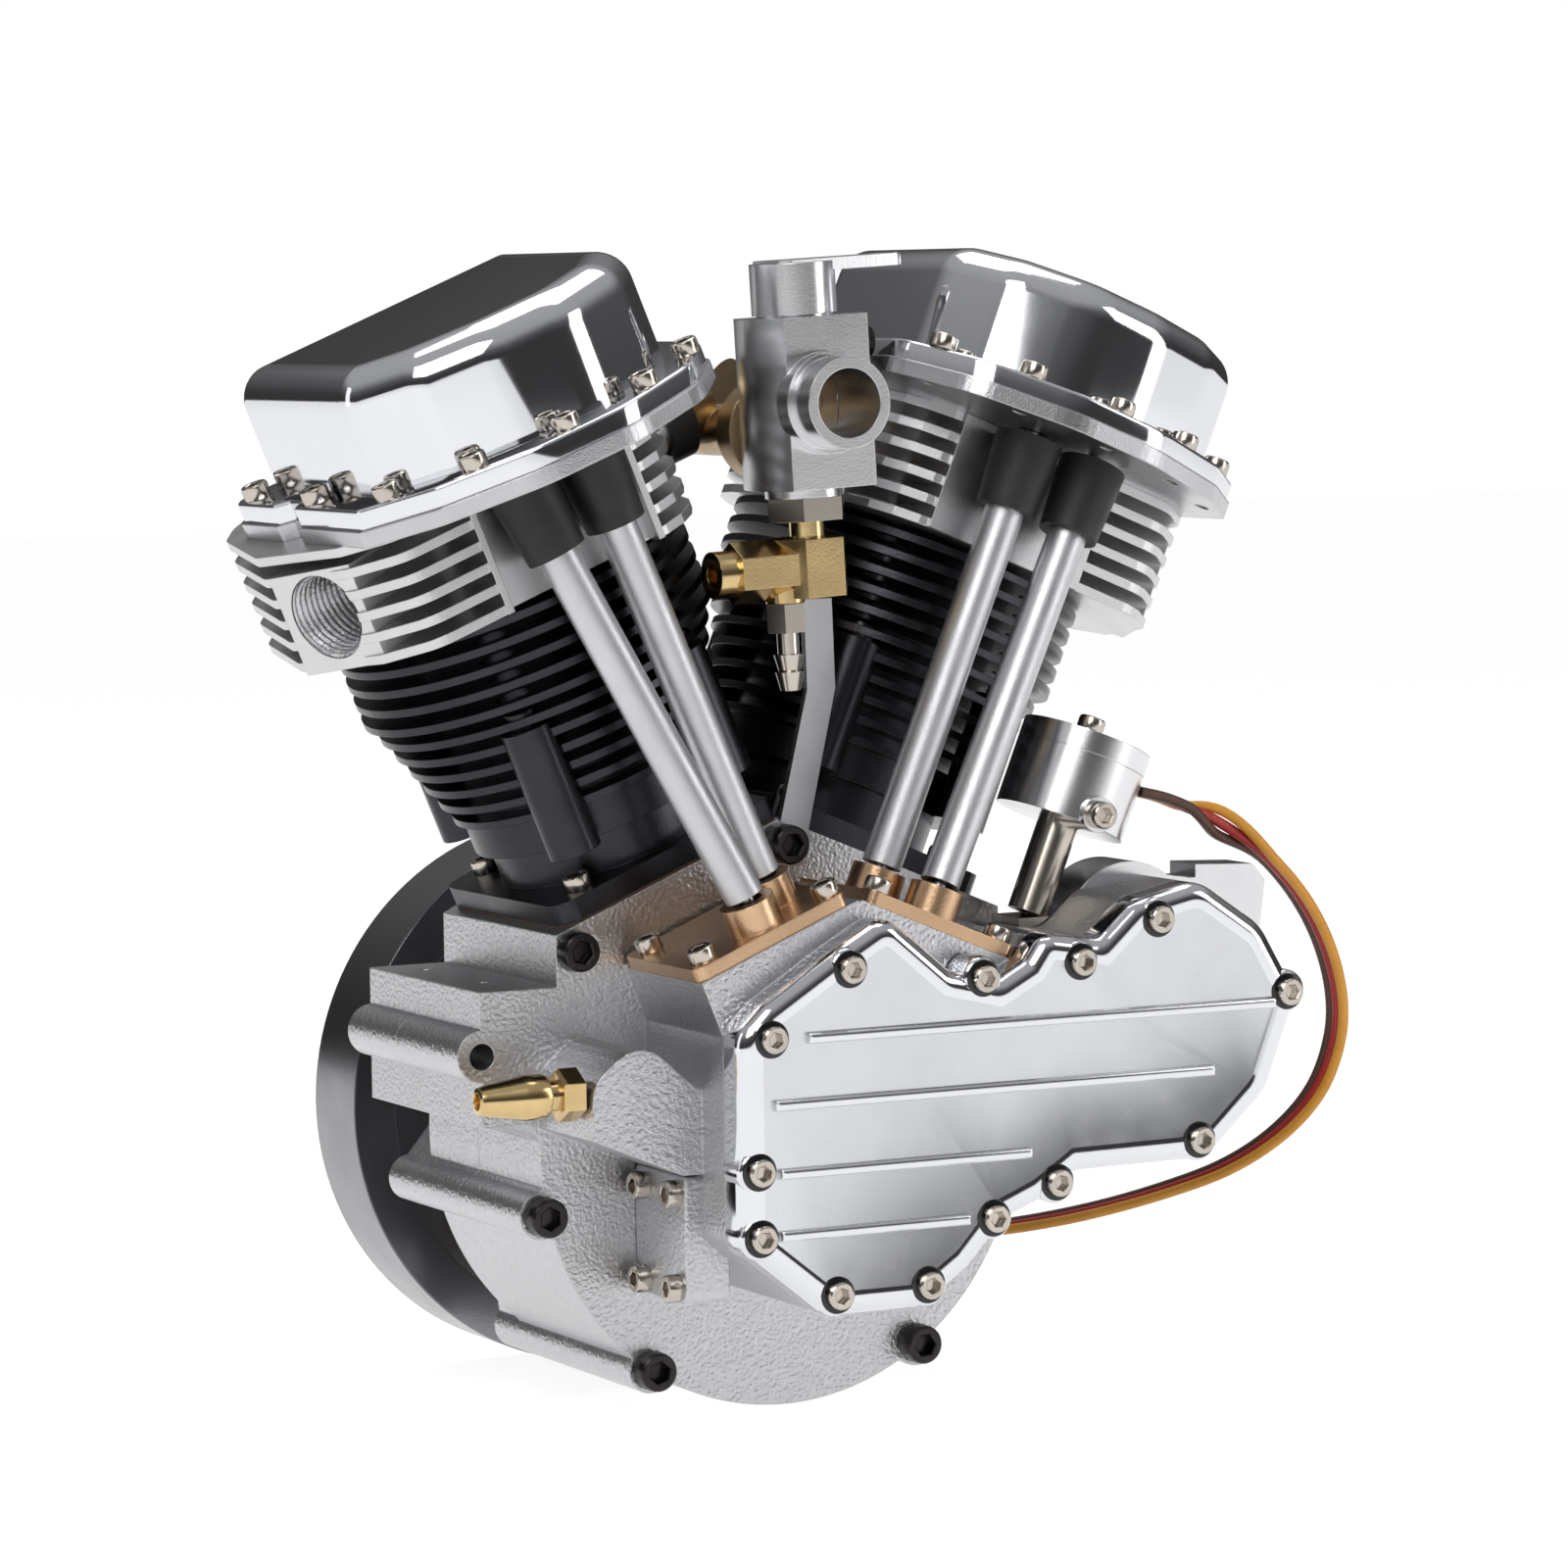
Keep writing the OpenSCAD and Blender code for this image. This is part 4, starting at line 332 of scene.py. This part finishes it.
# Rocker covers with smooth rounded domes over their flanges
BANK = math.radians(22.5)
LUG_Z = 14.5
FLANGE_W = 104.7
FLANGE_T = 2.8
COVER_H = 16.6
ROCKER = [(28.4, 12, 3), (28.4, -3, 1), (26.6, -5, 1), (26.6, -8, 1), (28.4, -10, 1), (28.4, -31, 2),
          (20.5, -39.4, 6), (7, -45.4, 14), (-7, -45.8, 14), (-20.5, -40, 10), (-28.6, -29, 8), (-28.6, 12, 6)]
DOME = [(23.4, 8, 4), (23.4, -29.4, 4), (15.5, -36.4, 7), (5, -39.6, 14), (-7, -40, 14), (-17.5, -34.5, 9),
        (-23.4, -26.5, 7), (-23.4, 8, 4)]


def on_bank(side):
    def place(out, y, w):
        x = out * math.cos(BANK) + w * math.sin(BANK)
        z = w * math.cos(BANK) - out * math.sin(BANK)
        return Vector((side * x, y, z - LUG_Z)) * MM
    return place


def carve(piece, tool):
    """Cut the tool out of the piece and drop the tool."""
    cut = piece.modifiers.new("cut", "BOOLEAN")
    cut.operation = "DIFFERENCE"
    cut.solver = "EXACT"
    cut.object = tool
    bpy.context.view_layer.update()
    mesh = bpy.data.meshes.new_from_object(piece.evaluated_get(bpy.context.evaluated_depsgraph_get()))
    mesh.set_sharp_from_angle(angle=math.radians(SKIN_SHARP))
    piece.modifiers.clear()
    piece.data = mesh
    bpy.data.objects.remove(tool)


COVER_WALL = 1.6
for side, word in ((-1, "left"), (1, "right")):
    place = on_bank(side)
    top = FLANGE_W + FLANGE_T + COVER_H
    dome = shell("cover_dome_" + word, DOME, [(0, FLANGE_W + FLANGE_T - 0.1, 0)] + quarter(5, 10, top),
                 place, [chrome, dark_top_metal], 1, 10)
    flange = shell("cover_flange_" + word, inset(ROCKER, 0.5),
                   [(0, FLANGE_W + 0.02, 0)] + quarter(0.5, 4, FLANGE_W + FLANGE_T), place, [chrome], 0, 6)
    for piece in (dome, flange):
        hollow = [(0, FLANGE_W - 2, 0), (0, top - 4, 0), (3, top - COVER_WALL, 0)]
        room = shell("room", inset(DOME, COVER_WALL), hollow, place, [chrome], 0, 4)
        carve(piece, room)
        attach(piece, "case")
        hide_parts("rocker_cover_" + word)

# Timing cover with a chrome roll round a satin face, four ribs, and a lobe under each screw, with a glossy black
# ring of painted shade round each screw head for the shadowed gap there
COVER_BACK = -44.0
COVER_T = 5.0
COVER_ROLL = 2.2
FACE_EDGE = [(3.0, COVER_T, 0), (3.4, COVER_T - 0.12, 0)]
LOBE_R, LOBE_ROUND = 3.0, 0.9
RING_R, RING_ROUND = 2.55, 0.12
RIB_HALF, RIB_ROUND, RIB_H = 0.75, 0.55, 0.68
CHEST = [(-8, -20.2, 4), (-21, -9.8, 4), (-21, 18.6, 5), (-17, 22.4, 3), (-6.6, 28.8, 4), (1.6, 33.4, 4),
         (11.6, 25, 6), (18.4, 23.4, 5), (23, 25.8, 2.5), (25.6, 29.4, 3), (34.4, 28, 4), (40, 33, 5),
         (50.5, 35.2, 6), (60.5, 28.4, 8), (66.2, 18.6, 6), (61, 5.2, 8), (51.5, -3.4, 6), (30.5, -3.6, 4),
         (24.8, -7.2, 4), (19.2, -9.4, 4), (13.6, -15.4, 6), (6.4, -20.2, 4)]
COVER_SCREWS = [(-4.4, 26.4), (-16.3, 17.8), (-18.4, 0.2), (-18.2, -8.7), (-6.9, -17.2), (6.9, -17), (17.1, -8.8),
                (27, -4.7), (49.6, -0.6), (64, 19), (43.4, 30.3), (31.1, 25.2), (15.9, 23.9)]
RIBS = [(-11, 62, 17.6), (-16, 52, 8.9), (-15.4, 23, -0.3), (-15.4, 13.4, -8.6)]


def on_front(x, z, height):
    return Vector((x, COVER_BACK - height, z - LUG_Z)) * MM


def disc(x, z, radius, steps=32):
    """Round outline, listed clockwise, for the shell helper."""
    turns = [-math.tau * k / steps for k in range(steps)]
    return [(x + radius * math.cos(turn), z + radius * math.sin(turn), 0.05) for turn in turns]


skin = shell("timing_skin", CHEST, [(0, 0.02, 0)] + quarter(COVER_ROLL, 10, COVER_T) + FACE_EDGE, on_front,
             [chrome, face_metal], 1, 8)
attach(skin, "case")
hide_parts("timing_cover")
for number, (x, z) in enumerate(COVER_SCREWS):
    lobe = shell("timing_lobe_%d" % number, disc(x, z, LOBE_R),
                 [(0, 0.03, 0)] + quarter(LOBE_ROUND, 6, COVER_T - 0.02), on_front, [chrome], 0, 1)
    # Black ring of painted shade round each screw head, standing for the shadowed gap there
    ring = shell("timing_shade_ring_%d" % number, disc(x, z, RING_R),
                 [(0, COVER_T - 0.1, 0)] + quarter(RING_ROUND, 3, COVER_T + 0.06), on_front, [painted_gap_shade], 0, 1)
    for piece in (lobe, ring):
        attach(piece, "case")
for number, (x0, x1, z) in enumerate(RIBS):
    low, high = z - RIB_HALF, z + RIB_HALF
    rib = shell("timing_rib_%d" % number, [(x0, low, 0.2), (x0, high, 0.2), (x1, high, 0.2), (x1, low, 0.2)],
                [(0, COVER_T - 0.2, 0)] + quarter(RIB_ROUND, 6, COVER_T + RIB_H), on_front, [chrome], 0, 3)
    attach(rib, "case")

# Block under the four small screws on the left of the chest
BLOCK_X, BLOCK_T = -16.5, 6.5


def on_left(y, z, height):
    return Vector((BLOCK_X - height, y, z - LUG_Z)) * MM


block = shell("side_block", [(-36, -19, 1.6), (-36, -1.6, 1.2), (-20.55, -1.6, 1.2), (-20.55, -19, 1.6)],
              [(0, 0, 0)] + quarter(0.35, 4, BLOCK_T), on_left, [blasted], 0, 6)
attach(block, "case")
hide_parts("side_cover")

# Turned pieces, as rings of 48 steps; a ring is (height, radius as a function of the step and its angle)
STEPS = 48


def round_to(radius):
    return lambda k, angle: radius


def sided(radius, sides):
    """Radius to the outline of a polygon with flat sides."""
    half = math.pi / sides
    return lambda k, angle: radius * math.cos(half) / math.cos(angle % (2 * half) - half)


def knurled(radius, depth):
    return lambda k, angle: radius - depth * (k % 2)


def revolve(rings, matrix, verts, faces):
    """Adds one closed turned solid to the lists of a mesh."""
    start = len(verts)
    for z, radius in rings:
        for k in range(STEPS):
            angle = math.tau * k / STEPS
            r = radius(k, angle)
            verts.append(matrix @ (Vector((r * math.cos(angle), r * math.sin(angle), z)) * MM))
    for level in range(len(rings) - 1):
        for k in range(STEPS):
            a, b = start + level * STEPS + k, start + level * STEPS + (k + 1) % STEPS
            faces.append((a, b, b + STEPS, a + STEPS))
    faces.append(tuple(reversed(range(start, start + STEPS))))
    faces.append(tuple(range(len(verts) - STEPS, len(verts))))


# Breather nipple with its hexagon, neck, barb and bore, listed outward
NIPPLE_AT = (-37.9, -33.5, 10.4 - LUG_Z)
NIPPLE = ([(z, sided(r, 6)) for z, r in ((-0.5, 3.2), (-0.2, 3.6), (2.4, 3.6), (2.9, 3.25))]
          + [(z, round_to(r)) for z, r in ((2.95, 2.1), (4.2, 2.0), (4.6, 2.9), (5.0, 3.05), (7.8, 3.05), (8.2, 2.9),
                                           (13.4, 2.05), (14.2, 1.8), (14.4, 1.15), (13.9, 1.0), (4, 1.0))])
nipple_place = Matrix.Translation(Vector(NIPPLE_AT) * MM) @ Matrix.Rotation(math.radians(-90), 4, "Y")
verts, faces = [], []
revolve(NIPPLE, nipple_place, verts, faces)
nipple = link_mesh("breather_barb", verts, faces, [brass])
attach(nipple, "case")
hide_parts("breather_nipple")

# Socket head screws with knurled sides; knurl and socket are shares of the head's radius
KNURL = 0.035
SOCKET = 0.5 / math.cos(math.radians(30))
SHANK_SEEN = 0.6


def cap_screws(name, places, diameter, head_d, material, node):
    """One mesh with a screw at each place; a place is a matrix whose Z points out of the head."""
    head_h, half = diameter, head_d / 2
    shank, side, corner = round_to(diameter / 2), round_to(half * 0.95), round_to(half * 0.86)
    grip, socket, mouth = knurled(half, KNURL * half), sided(SOCKET * half, 6), sided(SOCKET * half * 1.12, 6)
    rings = [(-SHANK_SEEN, shank), (0, shank), (0, side), (head_h * 0.08, grip), (head_h * 0.78, grip),
             (head_h * 0.92, side), (head_h, corner), (head_h, mouth), (head_h * 0.94, socket),
             (head_h * 0.45, socket)]
    verts, faces = [], []
    for matrix in places:
        revolve(rings, matrix, verts, faces)
    piece = link_mesh(name, verts, faces, [material])
    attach(piece, "case")
    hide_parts(node)


def facing(at, out, turn=0.0):
    """Matrix at a point in millimetres, with Z along the given direction."""
    rotation = Vector(out).to_track_quat("Z", "Y").to_matrix().to_4x4()
    return Matrix.Translation(Vector(at) * MM) @ rotation @ Matrix.Rotation(turn, 4, "Z")


# Places of the screws, as in the solids; each is turned a little differently round its own axis
ROD_PITCH = 1.85
HEAD_SINK = 0.6
CASE_FRONT = 20.5
STRIP_T = 1
SIDE_X = -23
BASE_OUT, BASE_Y, BASE_SEAT = 12.8, 15, 44.4
TUNNEL_OUT, TUNNEL_Y, TUNNEL_SEAT = 12.4, 17.6, 68.6
TAPPET_SEAT = 34.3
SIDE_SCREWS = [(-23.6, -4.2), (-33.4, -4.2), (-23.6, -17), (-33.4, -17)]
CASE_SCREWS = [(0, 40.9), (-31.6, 28), (-37, -7.8), (-21, -30.3), (20.3, -30.3)]
TAPPET_SCREWS = [(9.8, -41), (9.8, -25), (-10.2, -41.2)]
ROCKER_SCREWS = [(25.6, 7), (25.6, -13.5), (23.4, -32.4), (13.4, -39.4), (0.6, -42.6), (-13, -40.4), (-23.6, -33),
                 (-26, -10), (-26, 8), (0, 10.2)]
FRONT = (0, -1, 0)
silver = [facing((x, COVER_BACK - COVER_T + HEAD_SINK, z - LUG_Z), FRONT, 0.7 * n)
          for n, (x, z) in enumerate(COVER_SCREWS)]
silver += [facing((SIDE_X, y, z - LUG_Z), (-1, 0, 0), 0.5 * y) for y, z in SIDE_SCREWS]
black = [facing((x, -CASE_FRONT - (STRIP_T if n == 0 else 0), z - LUG_Z), FRONT, 0.8 * n)
         for n, (x, z) in enumerate(CASE_SCREWS)]
long_black = []
for side in (-1, 1):
    up = Vector((side * math.sin(BANK), 0, math.cos(BANK)))
    place = on_bank(side)
    for out in (-1, 1):
        for y in (-1, 1):
            base = place(out * BASE_OUT, y * BASE_Y + side * ROD_PITCH, BASE_SEAT) / MM
            tunnel = place(out * TUNNEL_OUT, y * TUNNEL_Y + side * ROD_PITCH, TUNNEL_SEAT) / MM
            silver.append(facing(base, up, out + y))
            long_black.append(facing(tunnel, up, out - y))
    silver += [facing(place(out, y, TAPPET_SEAT) / MM, up, n) for n, (out, y) in enumerate(TAPPET_SCREWS)]
    silver += [facing(place(out, y, FLANGE_W + FLANGE_T) / MM, up, 0.6 * n)
               for n, (out, y) in enumerate(ROCKER_SCREWS)]
IGNITION = Vector((35.2, -27.8, 30.8 - LUG_Z))
CLAMP_W, CLAMP_OUT = 14.2, 10
CAP_W, CAP_ACROSS, CAP_Y = 25.0, -3.2, -5.4
tilt = Vector((math.sin(BANK), 0, math.cos(BANK)))
across = Vector((math.cos(BANK), 0, -math.sin(BANK)))
silver.append(facing(IGNITION + tilt * CLAMP_W - Vector((0, CLAMP_OUT, 0)), FRONT))
silver.append(facing(IGNITION + tilt * CAP_W + across * CAP_ACROSS + Vector((0, CAP_Y, 0)), tilt))
cap_screws("steel_screws", silver, 2.0, 3.8, warm_steel, "silver_screws")
cap_screws("oxide_screws", black, 3.0, 5.5, oxide, "black_screws")
cap_screws("oxide_long_screws", long_black, 2.6, 4.6, oxide, "black_screws")

# Fine thread inside the exhaust ports, with a closed end
PORT_TURN = math.radians(-23)
PORT_REACH, PORT_W = 34, 93.2
THREAD_PITCH, THREAD_DEPTH, THREAD_SINK = 1.05, 11.4, 0.3
THREAD_IN, THREAD_H, THREAD_MOUTH = 5.35, 0.6, 5.95
QUARTERS = 4
for side, word in ((-1, "left"), (1, "right")):
    place = on_bank(side)
    cos, sin = math.cos(PORT_TURN), math.sin(PORT_TURN)
    axis = place(cos, sin, 0) - place(0, 0, 0)
    mouth = place(PORT_REACH * cos, PORT_REACH * sin + side * ROD_PITCH, PORT_W)
    matrix = Matrix.Translation(mouth) @ axis.to_track_quat("Z", "Y").to_matrix().to_4x4()
    verts, faces = [], []
    levels = int(THREAD_DEPTH / THREAD_PITCH * QUARTERS)
    for level in range(levels + 1):
        for k in range(STEPS):
            phase = (level / QUARTERS - k / STEPS) % 1
            radius = THREAD_IN + THREAD_H * abs(2 * phase - 1) if level else THREAD_MOUTH
            angle = math.tau * k / STEPS
            z = -THREAD_SINK - level * THREAD_PITCH / QUARTERS
            verts.append(matrix @ (Vector((radius * math.cos(angle), radius * math.sin(angle), z)) * MM))
    for level in range(levels):
        for k in range(STEPS):
            a, b = level * STEPS + k, level * STEPS + (k + 1) % STEPS
            faces.append((a, a + STEPS, b + STEPS, b))
    faces.append(tuple(levels * STEPS + k for k in range(STEPS)))
    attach(link_mesh("port_thread_" + word, verts, faces, [blasted], smooth=False), "case")

# Three wires from the ignition unit: the same route as the solids, then a flat coil with the plug in it
WIRE_D = 1.5 * MM
WIRE_PITCH = 1.65 * MM
ROUTE = [(52.2, -27.8, 31.5), (56.5, -27.8, 30.4), (61, -27.8, 28.6), (66, -27.8, 26.4), (73, -27.8, 21.8),
         (79, -27.8, 15.6), (83.2, -27.8, 8.6), (85.8, -27.2, 1), (86.3, -26, -6), (84.4, -24, -13.4),
         (80, -21, -19.6), (73.6, -17, -24.6), (66, -11, -28.4), (57.6, -4, -31.6), (50, 4, -34),
         (42, 13, -35.8), (34, 19.2, -35.8), (26, 20, -33.4), (18, 19.8, -30.4)]
COIL_AT = Vector((0, 19.6, -36.5)) * MM
COIL_OUTER = 8.7 * MM
COIL_STEP = 1.62 * MM
COIL_TURNS = 2.25
# Points of the line between which the wires twist half a turn, and half a turn again
TWIST = (10, 26, 84, 104)
LEAD_IN = Vector((0.006, 0, 0.0002))


def smooth(points, steps=6):
    """Catmull-Rom curve through the listed points."""
    line = []
    ends = [points[0] * 2 - points[1]] + points + [points[-1] * 2 - points[-2]]
    for a, b, c, d in zip(ends, ends[1:], ends[2:], ends[3:]):
        for i in range(steps):
            t = i / steps
            line.append(0.5 * ((2 * b) + (c - a) * t + (2 * a - 5 * b + 4 * c - d) * t * t
                               + (3 * b - a - 3 * c + d) * t * t * t))
    line.append(points[-1])
    return line


def coil():
    """Spiral inward in the plane of the coil, from its top round to the plug."""
    steps = 90
    points = []
    for i in range(steps + 1):
        turn = COIL_TURNS * i / steps
        angle = math.radians(90) + turn * math.tau
        radius = COIL_OUTER - COIL_STEP * turn
        points.append(COIL_AT + Vector((math.cos(angle) * radius, 0, math.sin(angle) * radius)))
    return points


def beside(line, place):
    """The line moved sideways, so that the wires lie next to each other, with two half twists."""
    def twist(i, first, last):
        share = max(0, min(1, (i - first) / (last - first)))
        return math.pi * share * share * (3 - 2 * share)

    moved = []
    for i, p in enumerate(line):
        along = (line[min(i + 1, len(line) - 1)] - line[max(i - 1, 0)]).normalized()
        side = (Vector((0, 1, 0)) - along * along.y).normalized()
        angle = twist(i, *TWIST[:2]) + twist(i, *TWIST[2:])
        moved.append(p + (side * math.cos(angle) + along.cross(side) * math.sin(angle)) * place * WIRE_PITCH)
    return moved


def wire(name, place, material):
    middle = smooth([Vector(p) * MM for p in ROUTE] + [COIL_AT + Vector((0, 0, COIL_OUTER)) + LEAD_IN])
    line = beside(middle + coil()[3:], place)
    curve = bpy.data.curves.new(name, "CURVE")
    curve.dimensions = "3D"
    curve.bevel_depth = WIRE_D / 2
    curve.bevel_resolution = 3
    curve.use_fill_caps = True
    spline = curve.splines.new("POLY")
    spline.points.add(len(line) - 1)
    for point, p in zip(spline.points, line):
        point.co = (*p, 1)
    spline.use_smooth = True
    piece = bpy.data.objects.new(name, curve)
    scene.collection.objects.link(piece)
    curve.materials.append(material.material)
    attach(piece, "case")
    length = sum((b - a).length for a, b in zip(line, line[1:]))
    return piece, line[0], length


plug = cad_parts["wire_plug"]
plug.data.materials.clear()
plug.data.materials.append(black_plastic.material)
for index, (node, material) in enumerate((("wire_brown", brown_wire), ("wire_red", red_wire),
                                          ("wire_yellow", yellow_wire))):
    piece, start, length = wire("lead_" + node[5:], index - 1, material)
    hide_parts(node)
    if index == 1:
        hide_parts("wire_hank")
    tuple(start)

# Floor and light
FLOOR_DROP = 0.6 * MM
FLOOR_REACH = 3.0
low, high = cad_box
floor_mesh = bpy.data.meshes.new("floor")
corners = [(x * FLOOR_REACH, y * FLOOR_REACH, 0) for x, y in ((-1, -1), (1, -1), (1, 1), (-1, 1))]
floor_mesh.from_pydata(corners, [], [(0, 1, 2, 3)])
floor = bpy.data.objects.new("floor", floor_mesh)
floor.location = (0, 0, low.z - FLOOR_DROP)
scene.collection.objects.link(floor)
paper = Shader("floor_white")
paper.set("Base Color", (0.9, 0.9, 0.9, 1))
paper.set("Roughness", 0.9)
paper.show_white(0.88, 0.3)
floor_mesh.materials.append(paper.material)

world = bpy.data.worlds.new("studio")
scene.world = world
world.use_nodes = True
tree = world.node_tree
tree.nodes.clear()
output = tree.nodes.new("ShaderNodeOutputWorld")
paths = tree.nodes.new("ShaderNodeLightPath")
backdrop = tree.nodes.new("ShaderNodeBackground")
backdrop.inputs["Color"].default_value = (1, 1, 1, 1)
backdrop.inputs["Strength"].default_value = 1.0
room = tree.nodes.new("ShaderNodeBackground")
ramp = tree.nodes.new("ShaderNodeValToRGB")
coordinates = tree.nodes.new("ShaderNodeTexCoord")
split = tree.nodes.new("ShaderNodeSeparateXYZ")
tree.links.new(coordinates.outputs["Generated"], split.inputs[0])
half = tree.nodes.new("ShaderNodeMath")
half.operation = "MULTIPLY_ADD"
half.inputs[1].default_value = 0.5
half.inputs[2].default_value = 0.5
tree.links.new(split.outputs["Z"], half.inputs[0])
tree.links.new(half.outputs[0], ramp.inputs[0])
ramp.color_ramp.elements[0].position = 0.0
ramp.color_ramp.elements[0].color = (0.75, 0.75, 0.76, 1)
ramp.color_ramp.elements[1].position = 1.0
ramp.color_ramp.elements[1].color = (0.95, 0.95, 0.96, 1)
for place, shade in ((0.44, 0.55), (0.49, 0.08), (0.57, 0.1), (0.68, 0.24), (0.82, 0.8)):
    stop = ramp.color_ramp.elements.new(place)
    stop.color = (shade, shade, shade * 1.01, 1)
tree.links.new(ramp.outputs["Color"], room.inputs["Color"])
room.inputs["Strength"].default_value = 0.5
mixer = tree.nodes.new("ShaderNodeMixShader")
tree.links.new(paths.outputs["Is Camera Ray"], mixer.inputs[0])
tree.links.new(room.outputs[0], mixer.inputs[1])
tree.links.new(backdrop.outputs[0], mixer.inputs[2])
tree.links.new(mixer.outputs[0], output.inputs[0])


def softbox(name, place, target, width, height, power):
    data = bpy.data.lights.new(name, "AREA")
    data.shape = "RECTANGLE"
    data.size = width
    data.size_y = height
    data.energy = power
    lamp = bpy.data.objects.new(name, data)
    lamp.location = place
    lamp.rotation_mode = "QUATERNION"
    lamp.rotation_quaternion = (Vector(target) - Vector(place)).to_track_quat("-Z", "Y")
    scene.collection.objects.link(lamp)


CENTRE = (0, -0.01, 0.03)
softbox("key", (-0.45, -0.65, 0.62), CENTRE, 0.5, 0.5, 3.6)
softbox("fill", (0.7, -0.6, 0.25), CENTRE, 0.3, 0.8, 2.2)
softbox("top", (0.1, 0.15, 0.8), CENTRE, 0.6, 0.6, 3.0)
softbox("left", (-0.8, 0.1, 0.1), CENTRE, 0.25, 0.9, 0.9)
